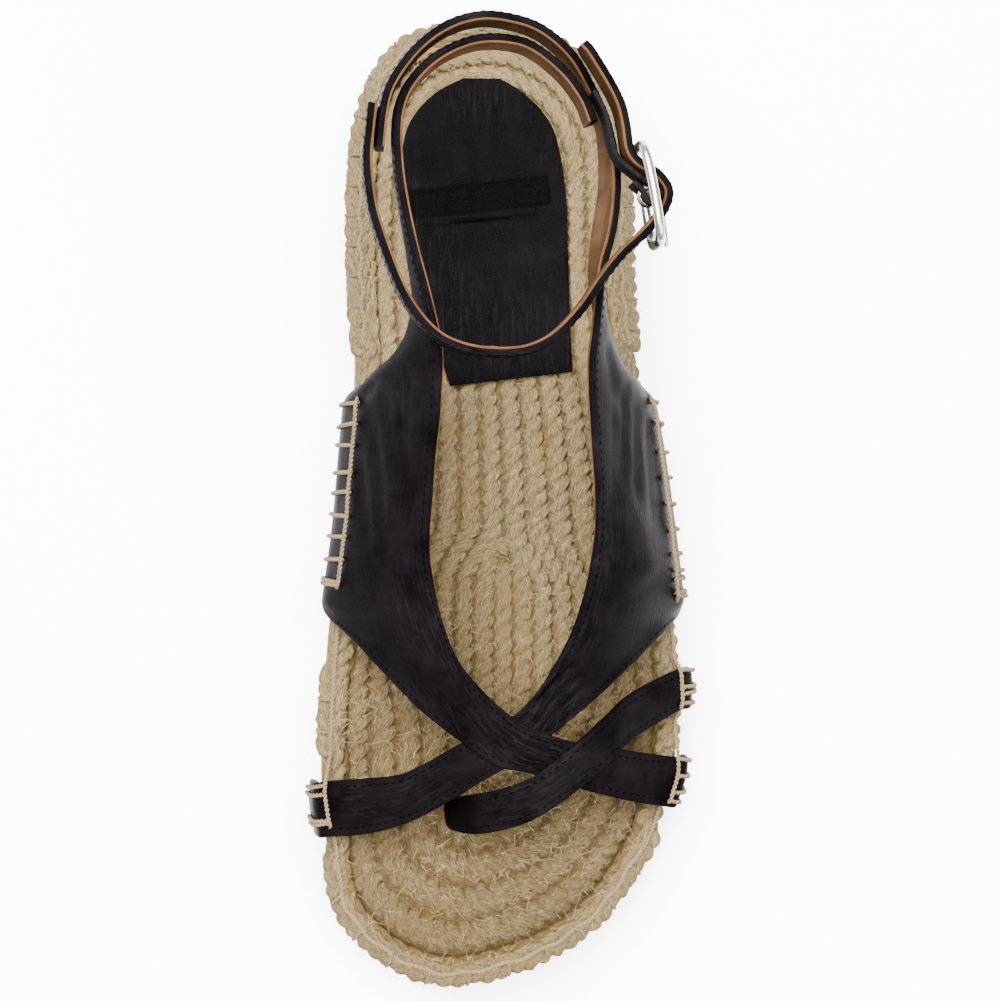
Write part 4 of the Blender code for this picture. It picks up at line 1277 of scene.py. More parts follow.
    def fluff(self, material: bpy.types.Material) -> bpy.types.Object:
        """Loose jute hairs that stand off the rope, on the footbed and on the bare rim top.

        Args:
            material: Finish of the hairs.

        Returns:
            The piece.
        """
        rng = np.random.default_rng(7)
        edge, spine = SOLE.loop(1441)
        picks = rng.integers(0, 1440, self.fibres)
        away = edge[picks] - spine[picks]
        reach = np.linalg.norm(away, axis=1)
        rim = rng.random(self.fibres) < 0.45
        inset = np.where(rim, rng.uniform(0.0006, 0.0080, self.fibres),
                         reach * rng.uniform(0.18, 0.98, self.fibres))
        inset = np.minimum(inset, reach)
        spots = edge[picks] - away / reach[:, None] * inset[:, None]
        along = edge[picks, 1] / HALF_LENGTH
        height = np.where(inset < RIM_TOP_WIDTH, SOLE.rim_top(along) - 0.0012, SOLE.footbed(spots) - 0.0004)
        bare = (inset >= RIM_TOP_WIDTH) | (self.seat(edge)[picks] <= 0)
        start = with_height(spots, height)
        heading = rng.uniform(0, tau, self.fibres)
        flat = np.stack([np.cos(heading), np.sin(heading), rng.uniform(-0.05, 0.30, self.fibres)], axis=1)
        bend = np.stack([-np.sin(heading), np.cos(heading), rng.uniform(-0.2, 0.2, self.fibres)], axis=1)
        length = rng.uniform(0.0016, 0.0058, self.fibres)[:, None]
        curl = rng.uniform(-0.45, 0.45, self.fibres)[:, None]
        side = np.stack([-np.sin(heading), np.cos(heading), np.zeros(self.fibres)], axis=1)
        rows = []
        for share in (0.0, 0.35, 0.7, 1.0):
            spot = start + flat * length * share + bend * curl * length * share ** 2
            spot[:, 2] = np.minimum(spot[:, 2] - 0.0002 * share, start[:, 2] + 0.0011)
            thick = 0.00005 * (1.15 - share)
            rows.append(np.stack([spot - side * thick, spot + [0, 0, 0.00004], spot + side * thick,
                                  spot - side * thick], axis=1))
        points = np.stack(rows, axis=1)
        uv = np.zeros(points.shape[:3] + (2,))
        uv[..., 0] = (np.arange(4) * 0.001)[None, :, None] + rng.random(self.fibres)[:, None, None]
        maker = MeshMaker("jute_hairs")
        maker.add(points[bare], uv[bare])
        return dress(maker.finish([material], merge=1e-9), "jute")

    def build(self, rope: bpy.types.Material, rim: bpy.types.Material, dark: bpy.types.Material,
              golden: bpy.types.Material, thread: bpy.types.Material,
              hair: bpy.types.Material) -> list[bpy.types.Object]:
        """Every piece of the jute sole.

        Args:
            rope: Finish of the footbed.
            rim: Finish of the rim and the side.
            dark: Finish of the grooves: darker jute, as painted shade.
            golden: Finish of the rim's inner strand.
            thread: Finish of the running thread.
            hair: Finish of the loose hairs.

        Returns:
            The pieces.
        """
        return [self.core(dark), self.footbed(rope), self.side(rim), self.rim(rim, golden),
                self.thread(thread), self.fluff(hair)]


def tube(path: np.ndarray, radius: np.ndarray, sides: int, closed: bool) -> tuple[np.ndarray, np.ndarray]:
    """A round wire with closed ends.

    Args:
        path: Rows of x, y and z.
        radius: One number, or one a row.
        sides: Faces round it.
        closed: True for a loop.

    Returns:
        Points and lengths for MeshMaker.add.
    """
    radius = np.broadcast_to(radius, len(path))[:, None, None]
    forward = frames_along(path, closed)[0]
    steep = np.mean(np.abs(forward[:, 2])) >= 0.8
    right = unit(np.cross(forward, np.array([1.0, 0.0, 0.0] if steep else [0.0, 0.0, 1.0])))
    up = np.cross(right, forward)
    around = np.linspace(0, tau, sides + 1)[None, :, None]
    points = path[:, None] + radius * (np.cos(around) * up[:, None] + np.sin(around) * right[:, None])
    if not closed:
        points = np.concatenate([np.repeat(path[:1, None], sides + 1, axis=1), points,
                                 np.repeat(path[-1:, None], sides + 1, axis=1)])
    run = np.linspace(0, len(points) * 0.0005, len(points))
    return points, grid_lengths(run, around[0, :, 0] * 0.001)


def close_ends(sheet: np.ndarray, uv: np.ndarray) -> tuple[np.ndarray, np.ndarray]:
    """Closes a tube-like sheet with a point in the middle of each end.

    Args:
        sheet: Rows of points round a tube.
        uv: Their lengths.

    Returns:
        The sheet and its lengths, with a row more at each end.
    """
    first = np.repeat(sheet[:1].mean(axis=1, keepdims=True), sheet.shape[1], axis=1)
    last = np.repeat(sheet[-1:].mean(axis=1, keepdims=True), sheet.shape[1], axis=1)
    return np.concatenate([first, sheet, last]), np.concatenate([uv[:1], uv, uv[-1:]])


@dataclass
class SewnThread:
    """Short sewn stitches, each a small pill half sunk in the leather."""

    pitch: float = 0.0022
    length: float = 0.00165
    thick: float = 0.00021
    sunk: float = 0.00005

    def pills(self, spots: np.ndarray, along: np.ndarray, out: np.ndarray) -> np.ndarray:
        """Stitch shapes.

        Args:
            spots: Middles of the stitches.
            along: Directions of the seam there.
            out: Directions out of the leather.

        Returns:
            Sheets for MeshMaker.add.
        """
        side = unit(np.cross(along, out))
        rows = []
        for place, size in ((-0.5, 0.0), (-0.40, 0.85), (0.0, 1.1), (0.40, 0.85), (0.5, 0.0)):
            middle = spots + along * self.length * place - out * 0.00010 * (abs(place) > 0.3)
            around = [middle + size * self.thick * (cos(a) * out + sin(a) * side)
                      for a in np.linspace(0, tau, 6)]
            rows.append(np.stack(around, axis=1))
        return np.stack(rows, axis=1)

    def row(self, strap: "Strap", offset: float, top: bool, first: float = 0.0, last: float = 1.0,
            skip: Optional[Callable[[float], bool]] = None) -> np.ndarray:
        """A seam along one edge of a strap.

        Args:
            strap: The strap.
            offset: Distance from the edge, in metres.
            top: True for the upper edge, False for the lower one.
            first: Share of the run where the seam starts.
            last: Share where it ends.
            skip: Says for a share of the run whether the seam is left out there.

        Returns:
            Sheets for MeshMaker.add.
        """
        runs = np.linspace(first, last, 600)
        width = np.linalg.norm(strap.cached[0][:, 0] - strap.cached[0][:, -1], axis=1)
        line, outs = [], []
        for run in runs:
            wide = float(np.interp(run * (strap.stations - 1), np.arange(strap.stations), width))
            share = min(offset / wide, 0.45)
            spot, out = strap.at(run, share if top else 1 - share)
            line.append(spot)
            outs.append(out)
        line, outs = np.array(line), np.array(outs)
        length = np.sum(np.linalg.norm(np.diff(line, axis=0), axis=1))
        gone = run_lengths(line)
        places = np.linspace(0, length, max(4, int(length / self.pitch)))
        even = np.stack([np.interp(places, gone, column)
                         for column in np.hstack([line, outs, runs[:, None]]).T], axis=1)
        keep = np.array([not (skip and skip(run)) for run in even[:, 6]])
        along = unit(np.gradient(even[:, :3], axis=0))
        out = unit(even[keep, 3:6])
        return self.pills(even[keep, :3] - out * self.sunk, along[keep], out)


def buckle_place() -> np.ndarray:
    """The buckle's own frame as a 4 by 4 array: X along the strap to the heel, Y up, Z outwards.

    Returns:
        The array, whose last column is the buckle's middle.
    """
    turn = radians(10.5)
    x = 0.855 * float(SOLE.edge_at(1, BUCKLE_ALONG))
    height = float(SOLE.rim_top(BUCKLE_ALONG)) + 0.98 * STRAP_RISE
    centre = np.array([x, BUCKLE_ALONG * HALF_LENGTH, height])
    back = np.array([-sin(turn), cos(turn), 0.0])
    up = np.array([0.0, 0.0, 1.0])
    place = np.eye(4)
    place[:3, 0], place[:3, 1], place[:3, 2], place[:3, 3] = back, up, np.cross(back, up), centre
    return place


def in_buckle(points: Sequence) -> np.ndarray:
    """Points of the buckle's own frame moved to the shoe's."""
    place = buckle_place()
    return np.array(points, dtype=float) @ place[:3, :3].T + place[:3, 3]


def spot_points(spots: Sequence[Spot]) -> np.ndarray:
    """Points of the straps' outer faces, as rows of x, y and z."""
    return share_points(*np.array(spots).T)


@dataclass
class AnkleBand(Strap):
    """The buckled band round the ankle, from its seam to its free tip."""

    height: float = 0.012

    def __post_init__(self) -> None:
        """Works out the band's upper and lower edge along its way through the buckle."""
        weave = in_buckle([(spot.along * Buckle.length / 2, self.height / 2, spot.out * WALL)
                           for spot in BUCKLE_WEAVE])
        path = spline(np.vstack([spot_points(ANKLE_FRONT), weave, spot_points(ANKLE_TAIL)]), self.stations)
        left = np.linspace(1, 0, self.stations) * (self.stations - 1)
        trim = 0.0022 * np.maximum(0, 1 - left / 5.0)[:, None] ** 2 * np.array([0, 0, 1.0])
        low = path - np.array([0, 0, self.height]) + trim
        path = path - trim
        self.sections = np.stack([path, path + MEET_STEEP * (low - path), low], axis=1)
        self.crown = 0.012


@dataclass
class Leather:
    """All straps with their seams."""

    black: bpy.types.Material
    shiny: bpy.types.Material
    tan: bpy.types.Material
    edge: bpy.types.Material
    thread: bpy.types.Material
    seam_inset: float = 0.0019
    band_inset: float = 0.0018

    def straps(self) -> dict[str, Strap]:
        """The three straps of the foot and the ankle band, with their listed creases.

        A crease is its start and end in millimetres on the floor plan, its depth and its half width.

        Returns:
            The straps by name.
        """
        medial = Strap(MEDIAL_STRAP, Hand.MEDIAL, 300, columns=26, creases=(
            ((-31, 2), (-24.5, -18), 0.9, 4.0), ((-36, 20), (-33, -6), -0.7, 1.5),
            ((-33, 27), (-30, 4), -0.55, 1.2), ((-39.5, 14), (-37, -12), -0.6, 1.3),
            ((-29, 20), (-27.5, 0), -0.5, 1.1), ((-40, 24), (-35, 30), -0.6, 1.6),
            ((-27, 32), (-29, 16), -0.45, 1.2), ((-34.5, -14), (-30, -26), -0.35, 2.2),
            ((-8, -60), (2, -66), -0.35, 1.2)))
        lateral = Strap(LATERAL_STRAP, Hand.LATERAL, 320, columns=26, creases=(
            ((27, 0), (34, -20), 0.8, 4.5), ((27.5, 28), (27, 4), -0.75, 1.4), ((31, 26), (31, 0), -0.6, 1.3),
            ((35, 20), (36.5, -6), -0.6, 1.4), ((24, 22), (24.5, 2), -0.5, 1.1),
            ((38, 14), (39, -8), -0.45, 1.2), ((22, 38), (25, 24), -0.45, 1.4),
            ((6, -52), (15, -42), -0.8, 0.9), ((9, -53), (18, -44), -0.7, 0.8),
            ((12, -54), (20, -46), -0.6, 0.8), ((3, -56), (11, -46), -0.5, 0.9),
            ((-14, -66), (-18, -76), -0.4, 1.4), ((-24, -68), (-27, -78), -0.35, 1.4)))
        toe = Strap(TOE_STRAP, Hand.MEDIAL, 130, columns=14, creases=(
            ((24, -60), (28, -66), -0.45, 0.9), ((16, -66), (20, -72), -0.35, 0.9),
            ((-4, -74), (-6, -82), -0.4, 1.2)))
        ankle = AnkleBand((), Hand.LATERAL, 330, columns=9, creases=(
            ((-8, 36), (-8, 30), -0.35, 1.5), ((18, 42), (20, 36), -0.3, 1.5),
            ((-33, 52), (-40, 50), -0.3, 1.6)))
        return {"medial_strap": medial, "lateral_strap": lateral, "toe_strap": toe, "ankle_band": ankle}

    def build(self) -> list[bpy.types.Object]:
        """Every leather piece and every seam.

        Returns:
            The pieces.
        """
        pieces = []
        straps = self.straps()
        for name, strap in straps.items():
            maker = MeshMaker(name)
            sheet, uv, slots = strap.shell()
            sheet, uv = close_ends(sheet, uv)
            maker.add(sheet, uv, slots, flip=strap.hand is Hand.LATERAL)
            nodes = {"medial_strap": ("upper",), "ankle_band": ("ankle_strap",)}.get(name, ())
            outer = self.shiny if name in ("lateral_strap", "toe_strap") else self.black
            piece = maker.finish([outer, self.tan, self.edge], merge=1e-6)
            pieces.append(dress(piece, "strap_leather", *nodes))
        pieces.append(self.seams(straps))
        return pieces

    def seams(self, straps: dict[str, Strap]) -> bpy.types.Object:
        """The black seams about two millimetres inside the straps' edges.

        Args:
            straps: The straps by name.

        Returns:
            The piece.
        """
        thread = SewnThread()
        maker = MeshMaker("strap_seams")

        def wrapped(strap: Strap) -> Callable[[float], bool]:
            """Says where a strap's lower edge wraps the rim."""
            values = spline(strap.table, strap.stations)[:, 6]
            return lambda run: float(np.interp(run, np.linspace(0, 1, strap.stations), values)) > 0.3

        for name in ("medial_strap", "lateral_strap", "toe_strap"):
            strap = straps[name]
            last = 0.97 if name == "toe_strap" else 0.995
            maker.add(thread.row(strap, self.seam_inset, True, 0.05, last))
            maker.add(thread.row(strap, self.seam_inset, False, 0.05, last, wrapped(strap)))
        for top in (True, False):
            maker.add(thread.row(straps["ankle_band"], self.band_inset, top, 0.01, 0.99))
        return dress(maker.finish([self.thread]), "strap_leather")


@dataclass
class BlanketStitch:
    """Jute yarn that sews the flanges to the rim: a running thread with rungs over the edge."""

    yarn: float = 0.00062
    twist: Twist = Twist(lay=0.0024, sides=6, steps=8, fullness=0.56)

    def panel(self, maker: MeshMaker, strap: Strap, rungs: Sequence[float], inside: float) -> np.ndarray:
        """Rungs over a side panel's flange.

        Args:
            maker: Where the yarn goes.
            strap: The strap with the panel.
            rungs: Places of the rungs along the sole, in metres.
            inside: How far inside the edge the running thread lies, seen from above.

        Returns:
            The running thread's points.
        """
        face, out, _ = strap.cached
        low = strap.sections[:, 2]
        side = -1 if strap.hand is Hand.MEDIAL else 1
        near = np.nonzero(np.abs(low[:, 0]) > 0.93 * np.abs(SOLE.edge_at(side, low[:, 1] / HALF_LENGTH)))[0]
        near = near[(np.sign(low[near, 0]) == side) & (np.abs(low[near, 1]) < 0.06)]
        near = near[np.argsort(low[near, 1])]
        column = np.linspace(0.4, 1.0, 49) * (strap.columns - 1)
        first = np.minimum(column.astype(int), strap.columns - 2)
        part = (column - first)[:, None]
        values = np.concatenate([face, out], axis=2)[near]
        values = values[:, first] * (1 - part) + values[:, first + 1] * part
        line = []
        for number, y in enumerate(rungs):
            profile = np.array([[np.interp(y, values[:, j, 1], values[:, j, k]) for k in range(6)]
                                for j in range(len(column))])
            profile, outs = profile[:, :3], unit(profile[:, 3:])
            away = np.abs(profile[-1, 0]) - np.abs(profile[:, 0])
            start = int(np.argmin(np.abs(away - inside)))
            spots = profile[start:] + outs[start:] * (self.yarn * 0.8)
            slant = 0.0006 * sin(number * 2.1)
            spots = spots + np.array([0, 1.0, 0]) * np.linspace(slant, 0, len(spots))[:, None]
            end = spots[-1] + np.array([0.0006 * -side, 0, -0.0018])
            self.rung(maker, np.vstack([spots, end]), number)
            line.append(spots[0] + outs[start] * 0.0004)
        return np.array(line)

    def rung(self, maker: MeshMaker, path: np.ndarray, number: int) -> None:
        """Lays one rung of yarn, whose number turns its strands."""
        maker.add(*self.twist.sheets(resample(path, 16), self.yarn, self.yarn, False, number))

    def end(self, maker: MeshMaker, strap: Strap, places: Sequence[float], inside: float) -> np.ndarray:
        """Rungs over the end of a toe strap.

        Args:
            maker: Where the yarn goes.
            strap: The strap.
            places: Shares across the strap, a rung each.
            inside: How far inside the edge the running thread lies.

        Returns:
            The running thread's points.
        """
        line = []
        runs = np.linspace(0.0, 0.22, 60)
        for number, across in enumerate(places):
            spots = np.array([np.concatenate(strap.at(run, across)) for run in runs])
            side = np.sign(spots[0, 0])
            edge = np.abs(SOLE.edge_at(side, spots[:, 1] / HALF_LENGTH))
            last = int(np.argmin(np.abs(edge - np.abs(spots[:, 0]) - inside)))
            path = (spots[:max(last, 6) + 1, :3] + spots[:max(last, 6) + 1, 3:] * (self.yarn * 0.85))[::-1]
            slant = 0.0009 * cos(number * 1.7)
            path = path + np.array([0, 1.0, 0]) * np.linspace(slant, 0, len(path))[:, None]
            self.rung(maker, path, number)
            line.append(path[0] + spots[max(last, 6), 3:] * 0.0003)
        return np.array(line)

    def build(self, straps: dict[str, Strap], yarn: bpy.types.Material) -> list[bpy.types.Object]:
        """All the yarn of the blanket stitch.

        Args:
            straps: The straps by name.
            yarn: Finish of the yarn.

        Returns:
            The piece, in a list.
        """
        maker = MeshMaker("blanket_stitch")
        lateral_rungs = (0.0255, 0.0198, 0.0128, 0.0060, -0.0012, -0.0074, -0.0140, -0.0186, -0.0202, -0.0240,
                         -0.0254)
        medial_rungs = (0.0250, 0.0192, 0.0146, 0.0072, 0.0018, -0.0036, -0.0094, -0.0156, -0.0206, -0.0218)
        lateral = self.panel(maker, straps["lateral_strap"], lateral_rungs, 0.0044)
        toe = self.end(maker, straps["toe_strap"], (0.12, 0.45, 0.55, 0.88), 0.0034)
        medial_toe = self.end(maker, straps["medial_strap"], (0.10, 0.36, 0.64, 0.90), 0.0034)
        medial = self.panel(maker, straps["medial_strap"], medial_rungs, 0.0040)
        lateral_toe = self.end(maker, straps["lateral_strap"], (0.14, 0.24, 0.66, 0.78), 0.0036)
        self.run(maker, np.vstack([self.rim_spots(1, (0.036, 0.031), 0.0040), lateral,
                                   self.rim_spots(1, (-0.030, -0.036, -0.041), 0.0036), toe,
                                   self.rim_spots(1, (-0.057, -0.060), 0.0038), medial_toe,
                                   self.rim_spots(1, (-0.080, -0.086, -0.092), 0.0042)]))
        self.run(maker, np.vstack([self.rim_spots(-1, (0.036, 0.031), 0.0042), medial,
                                   self.rim_spots(-1, (-0.0265, -0.036, -0.048, -0.060, -0.068), 0.0042),
                                   lateral_toe, self.rim_spots(-1, (-0.090, -0.096, -0.102), 0.0044)]))
        return [dress(maker.finish([yarn]), "jute")]

    def rim_spots(self, side: int, places: Sequence[float], inside: float) -> np.ndarray:
        """Points on the bare rim, where the running thread lies in its groove.

        Args:
            side: -1 for the medial edge, 1 for the lateral one.
            places: Places along the sole, in metres.
            inside: Distance from the edge, in metres.

        Returns:
            Rows of x, y and z.
        """
        y = np.array(places)
        along = y / HALF_LENGTH
        x = SOLE.edge_at(side, along) - side * inside
        return np.stack([x, y, SOLE.rim_top(along) + 0.0002], axis=1)

    def run(self, maker: MeshMaker, line: np.ndarray) -> None:
        """Lays the running thread through its points."""
        maker.add(*self.twist.sheets(spline(line, 420), self.yarn, self.yarn, False, 0.4))


@dataclass
class Buckle:
    """The rounded frame with its bar, and the prong."""

    length: float = 0.024
    height: float = 0.0185
    wire: float = 0.0024
    bow: float = 0.0004
    bar: float = 0.0020
    prong: float = 0.0016
    squareness: float = 0.45

    def frame_ring(self, metal: bpy.types.Material, brass: bpy.types.Material) -> bpy.types.Object:
        """The frame and its brass-coloured centre bar.

        Args:
            metal: Finish of the frame.
            brass: Finish of the bar.

        Returns:
            The piece.
        """
        maker = MeshMaker("buckle")
        turn = np.linspace(0, tau, 129)
        x = self.length / 2 * np.sign(np.cos(turn)) * np.abs(np.cos(turn)) ** self.squareness
        y = self.height / 2 * np.sign(np.sin(turn)) * np.abs(np.sin(turn)) ** self.squareness
        z = self.bow * (1 - (x / (self.length / 2)) ** 2)
        ring = resample(in_buckle(np.stack([x, y, z], axis=1)), 129)
        maker.add(*tube(ring, self.wire / 2, 16, True), slots=np.zeros(16))
        y = np.linspace(-self.height / 2, self.height / 2, 14)
        swell = self.bar / 2 * (1 + 0.15 * (np.abs(y) / (self.height / 2)) ** 4)
        bar = in_buckle(np.stack([0 * y, y, 0 * y + self.bow], axis=1))
        maker.add(*tube(bar, swell, 16, False), slots=np.ones(16))
        return dress(maker.finish([metal, brass]), "buckle_metal", "buckle_frame")

    def prong_wire(self, metal: bpy.types.Material) -> bpy.types.Object:
        """The prong: an eye round the bar, then a shank that narrows to its tip on the frame.

        Args:
            metal: Finish of the prong.

        Returns:
            The piece.
        """
        maker = MeshMaker("prong")
        reach = (self.bar + self.prong) / 2 + CLEARANCE
        angles = np.radians(np.linspace(-160, 90, 22))
        eye = np.stack([reach * np.cos(angles), 0 * angles, self.bow + reach * np.sin(angles)], axis=1)
        tip = np.array([[-self.length / 2 - 0.4 * self.wire, 0, self.wire / 2 + CLEARANCE + self.prong / 2]])
        shank = np.linspace(eye[-1], tip[0], 16)[1:]
        path = in_buckle(np.vstack([eye, shank]))
        size = self.prong / 2 * np.concatenate([np.ones(len(path) - 5), [0.98, 0.94, 0.86, 0.72, 0.45]])
        maker.add(*tube(path, size, 14, False))
        return dress(maker.finish([metal]), "buckle_metal", "buckle_prong")


@dataclass
class Elastic:
    """The ribbed band that holds the buckle's bar, with two ears beside the prong."""

    height: float = 0.009
    thick: float = 0.0013
    slot: float = 0.0030

    def middle_line(self) -> np.ndarray:
        """From the seam on the medial strap's end, inside the ankle band and round the bar.

        Returns:
            Rows of x, y and z.
        """
        bow, bar = Buckle.bow, Buckle.bar
        centre = np.array([0.0, bow])
        radius = bar / 2 + CLEARANCE + self.thick / 2
        inside = -(0.0012 + 2 * CLEARANCE + 1.85 * WALL)
        near = np.array([3.7 * radius, bow - 2.2 * radius])
        approach = unit(centre - near)
        left = np.array([approach[1], -approach[0]])
        first = atan2(left[1], left[0]) + radians(20)
        path = [[0.012, -0.0035, inside], [near[0], 0, near[1]]]
        for step in range(9):
            angle = first + radians(220) * step / 8
            path.append([radius * cos(angle), 0, bow + radius * sin(angle)])
        end = centre - approach * radius * 2.6 - left * radius * 0.7
        path.append([end[0], 0, end[1]])
        return np.vstack([spot_points(ELASTIC_SEAM), in_buckle(path)])

    def strip(self, path: np.ndarray, low: float, high: float, ribs: int) -> tuple[np.ndarray, np.ndarray]:
        """A closed ribbed strip between two heights.

        Args:
            path: Middle line of the band.
            low: Lower edge above the middle line, in metres.
            high: Upper edge.
            ribs: Cords across the strip.

        Returns:
            Points and lengths for MeshMaker.add.
        """
        forward = unit(np.gradient(path, axis=0))
        up = np.array([0, 0, 1.0])
        out = unit(np.cross(forward, up))
        columns = ribs * 6 + 1
        share = np.linspace(0, 1, columns)
        run = run_lengths(path)
        braid = np.abs(np.sin(pi * (share[None] * ribs))) ** 0.7
        weave = 0.5 + 0.5 * np.sin(run[:, None] / 0.00105 * tau + pi * np.floor(share[None] * ribs))
        thick = self.thick / 2 * (0.66 + 0.22 * braid + 0.12 * weave)
        height = (low + (high - low) * share)[None, :, None] * up
        front = path[:, None] + height + out[:, None] * thick[..., None]
        back = path[:, None] + height - out[:, None] * thick[..., None]
        sheet = np.concatenate([front, back[:, ::-1], front[:, :1]], axis=1)
        around = np.concatenate([share, share[::-1], share[:1]]) * (high - low)
        return close_ends(sheet, grid_lengths(run, around))

    def build(self, material: bpy.types.Material) -> bpy.types.Object:
        """The band and its ears.

        Args:
            material: Finish of the band.

        Returns:
            The piece.
        """
        maker = MeshMaker("elastic_band")
        path = spline(self.middle_line(), 260)
        local = (path - buckle_place()[:3, 3]) @ buckle_place()[:3, :3]
        past = int(np.argmax(local[:, 0] < 0.0046))
        half = self.height / 2
        maker.add(*self.strip(path[:past + 1], -half, half, 6))
        maker.add(*self.strip(path[past - 1:], self.slot / 2, half, 2))
        maker.add(*self.strip(path[past - 1:], -half, -self.slot / 2, 2))
        return dress(maker.finish([material]), "elastic", "elastic")


@dataclass
class HeelPad:
    """The leather patch under the heel, with a blank pressed bar and a plain line."""

    thick: float = 0.0012
    centre: tuple = (-0.0064, 0.0797)
    size: tuple = (0.0184, 0.0038)
    turn: float = radians(6.8)
    line_drop: float = 0.0022
    soft: tuple = (0.0004, 0.0003)
    rows: int = 150
    columns: int = 84

    def pressed(self, x: np.ndarray, y: np.ndarray) -> np.ndarray:
        """Depth of the pressed bar and line, as a share.

        Args:
            x: Places on the floor plan.
            y: Places on the floor plan.

        Returns:
            A share for each place.
        """
        away_x, away_y = x - self.centre[0], y - self.centre[1]
        u = away_x * cos(self.turn) + away_y * sin(self.turn)
        v = -away_x * sin(self.turn) + away_y * cos(self.turn)
        inside, tall = (1 - smooth_step(np.abs(away), size - self.soft[0], size + self.soft[1])
                        for away, size in zip((u, v), self.size))
        bar = inside * tall
        line = inside * np.exp(-((v + self.size[1] + self.line_drop) / 0.00035) ** 2)
        return 0.62 * bar + 0.8 * line

    def marks(self) -> tuple:
        """Middle, turn and half sizes of the pressed bar and of the line below it.

        Returns:
            One row each, for LeatherFinish.marks.
        """
        x, y = self.centre
        drop = self.size[1] + self.line_drop
        return ((x, y, self.turn, *self.size),
                (x + drop * sin(self.turn), y - drop * cos(self.turn), self.turn, 0.8 * self.size[0], 0.0003))

    def build(self, leather: bpy.types.Material) -> bpy.types.Object:
        """The patch, which follows the coil rows a little, with a soft cut edge.

        Args:
            leather: Finish of the patch.

        Returns:
            The piece.
        """
        values = spline(HEEL_PAD, self.rows)
        share = np.linspace(0, 1, self.columns)
        x = (values[:, 1:2] + (values[:, 2:3] - values[:, 1:2]) * share) * HALF_WIDTH
        front = smooth_step(np.linspace(0, 1, self.rows), 0.45, 0.60)[:, None]
        y = (values[:, :1] + 0.03 * (share - 0.5) * front) * HALF_LENGTH
        spots = np.stack([x, y], axis=-1)
        bottom = SOLE.footbed(spots) + CLEARANCE
        wave = 0.00006 * np.sin(x / 0.0058 * tau) + 0.00016 * np.sin(y / 0.031 * tau + x / 0.011)
        edge = np.minimum(np.minimum(share, 1 - share)[None] * 28, 1) * np.minimum(
            np.minimum(np.linspace(0, 1, self.rows), np.linspace(1, 0, self.rows))[:, None] * 50, 1)
        rounding = 0.00035 * (1 - np.sqrt(np.clip(edge, 0, 1)))
        top = bottom + self.thick + wave * edge - rounding - 0.00075 * self.pressed(x, y)
        upper = with_height(spots, top)
        lower = with_height(spots, bottom)
        sheet = np.concatenate([upper, lower[:, ::-1], upper[:, :1]], axis=1)
        uv = np.stack([sheet[..., 1], sheet[..., 0]], axis=-1)
        maker = MeshMaker("heel_patch")
        maker.add(sheet, uv)
        for row in (0, -1):
            maker.add(np.stack([upper[row], lower[row]]), flip=row == -1)
        return dress(maker.finish([leather], merge=1e-6, sharp=50), "pad_leather", "heel_pad")


@dataclass
class Studio:
    """Camera at the photograph's place, soft lights and a pale floor."""

    eye: tuple = (-0.0564, -0.0014, 0.750)
    aim: tuple = (-0.0006, 0.0, 0.018)
    lens: float = 99.4
    key: float = 420.0
    fill: float = 70.0
    sky: float = 1.0
    key_place: tuple = (-0.30, 0.42, 1.55)
    fill_place: tuple = (0.80, -0.55, 1.10)

    def lamp(self, name: str, place: tuple, size: float, power: float) -> None:
        """A soft square light that faces the shoe.

        Args:
            name: The lamp's name.
            place: Where it hangs, in metres.
            size: Length of its side.
            power: Its power in watts.
        """
        light = bpy.data.lights.new(name, "AREA")
        light.shape = "SQUARE"
        light.size = size
        light.energy = power
        item = bpy.data.objects.new(name, light)
        item.location = place
        item.rotation_euler = (Vector((0, 0, 0.02)) - Vector(place)).to_track_quat("-Z", "Y").to_euler()
        bpy.context.scene.collection.objects.link(item)

    def build(self, floor: bpy.types.Material) -> None:
        """Puts the floor, lights, sky and camera in place.

        Args:
            floor: Finish of the floor.
        """
        bm = bmesh.new()
        bmesh.ops.create_grid(bm, x_segments=8, y_segments=8, size=1.6)
        bmesh.ops.translate(bm, verts=bm.verts, vec=(0, 0, -0.0001))
        mesh = bpy.data.meshes.new("floor")
        bm.to_mesh(mesh)
        bm.free()
        mesh.materials.append(floor)
        ground = bpy.data.objects.new("floor", mesh)
        bpy.context.scene.collection.objects.link(ground)
        self.lamp("key_light", self.key_place, 1.3, self.key)
        self.lamp("fill_light", self.fill_place, 0.8, self.fill)
        world = bpy.data.worlds.new("soft_sky")
        world.use_nodes = True
        world.node_tree.nodes["Background"].inputs["Color"].default_value = (0.97, 0.98, 1.0, 1)
        world.node_tree.nodes["Background"].inputs["Strength"].default_value = self.sky
        bpy.context.scene.world = world
        camera = bpy.data.cameras.new("camera")
        camera.lens = self.lens
        camera.clip_start = 0.01
        item = bpy.data.objects.new("camera", camera)
        forward = (Vector(self.aim) - Vector(self.eye)).normalized()
        right = forward.cross(Vector((0, 1, 0))).normalized()
        up = right.cross(forward)
        turned = Matrix((right, up, -forward)).transposed().to_4x4()
        item.matrix_world = Matrix.Translation(Vector(self.eye)) @ turned
        bpy.context.scene.collection.objects.link(item)
        bpy.context.scene.camera = item


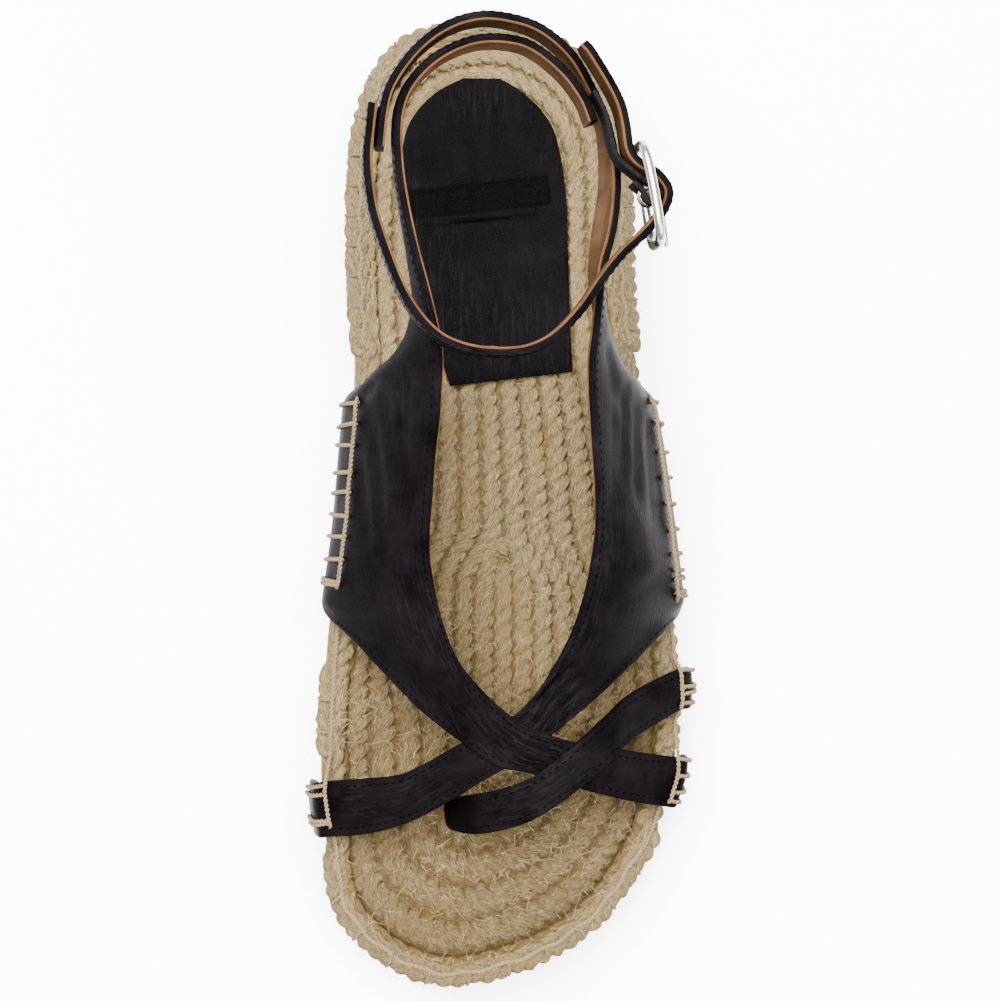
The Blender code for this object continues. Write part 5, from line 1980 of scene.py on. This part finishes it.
def main() -> None:
    """Builds and dresses every piece in order."""
    logging.basicConfig(level=logging.INFO, format="%(message)s")
    log = logging.getLogger("sandal")
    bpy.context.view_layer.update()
    shiny = LeatherFinish("shiny_leather", rough=(0.30, 0.46), gloss=0.0032)
    edge = LiningFinish("lining_edge", (0.036, 0.017, 0.0075), (0.058, 0.028, 0.0125))
    sewn = CordFinish("black_thread", (0.0009, 0.0008, 0.0009), (0.0003, 0.0002, 0.0003), 0.8, 0.0)
    leather = Leather(LeatherFinish("black_leather").material(), shiny.material(), LiningFinish().material(),
                      edge.material(), sewn.material())
    yarn = CordFinish("jute_yarn", (0.115, 0.086, 0.048), (0.034, 0.024, 0.012)).material()
    hair = CordFinish("jute_hair", (0.22, 0.165, 0.088), (0.120, 0.086, 0.042)).material()
    rope = JuteFinish("footbed_jute").material()
    # The last two values set the rim's painted shade: darker towards the toe.
    rim = JuteFinish("rim_jute", (0.170, 0.128, 0.070), (0.040, 0.028, 0.0125), (0.115, 0.080, 0.030), 0.18,
                     0.00022, (-0.05, -0.12), 0.88).material()
    # Darker jute for the core, seen only in the grooves between the ropes: painted shade.
    dark = JuteFinish("groove_shade_jute", (0.115, 0.080, 0.032), (0.050, 0.033, 0.013),
                      (0.10, 0.064, 0.017)).material()
    metal = MetalFinish("silver_plate").material()
    brass = MetalFinish("brass_bar", (0.42, 0.30, 0.13), (0.24, 0.42)).material()
    golden = JuteFinish("gold_jute", (0.190, 0.132, 0.056), (0.060, 0.039, 0.014),
                        (0.150, 0.096, 0.030)).material()
    pieces = JuteSole().build(rope, rim, dark, golden, yarn, hair)
    pieces += leather.build()
    pieces += BlanketStitch().build(leather.straps(), yarn)
    pad = HeelPad()
    # The colour (0.0026, 0.0023, 0.0026) is the pad's painted highlight streaks.
    pieces.append(pad.build(LeatherFinish("pad_leather", (0.0008, 0.0006, 0.0007), (0.0020, 0.0016, 0.0020),
                                          (0.36, 0.52), 0.00013, (0.0026, 0.0023, 0.0026), 0.005,
                                          pad.marks()).material()))
    pieces.append(Elastic().build(CordFinish("black_elastic", (0.004, 0.0036, 0.004), (0.001, 0.001, 0.001),
                                             0.75).material()))
    pieces += [Buckle().frame_ring(metal, brass), Buckle().prong_wire(metal)]
    rubber = RubberFinish().material()
    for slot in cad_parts["outsole"].material_slots:
        slot.material = rubber
    Studio().build(FloorFinish().material())
    total = 0
    for piece in pieces:
        count = sum(len(face.vertices) - 2 for face in piece.data.polygons)
        total += count
        log.info("%s: %d triangles", piece.name, count)
    log.info("all: %d triangles", total)


if __name__ == "__main__":
    main()
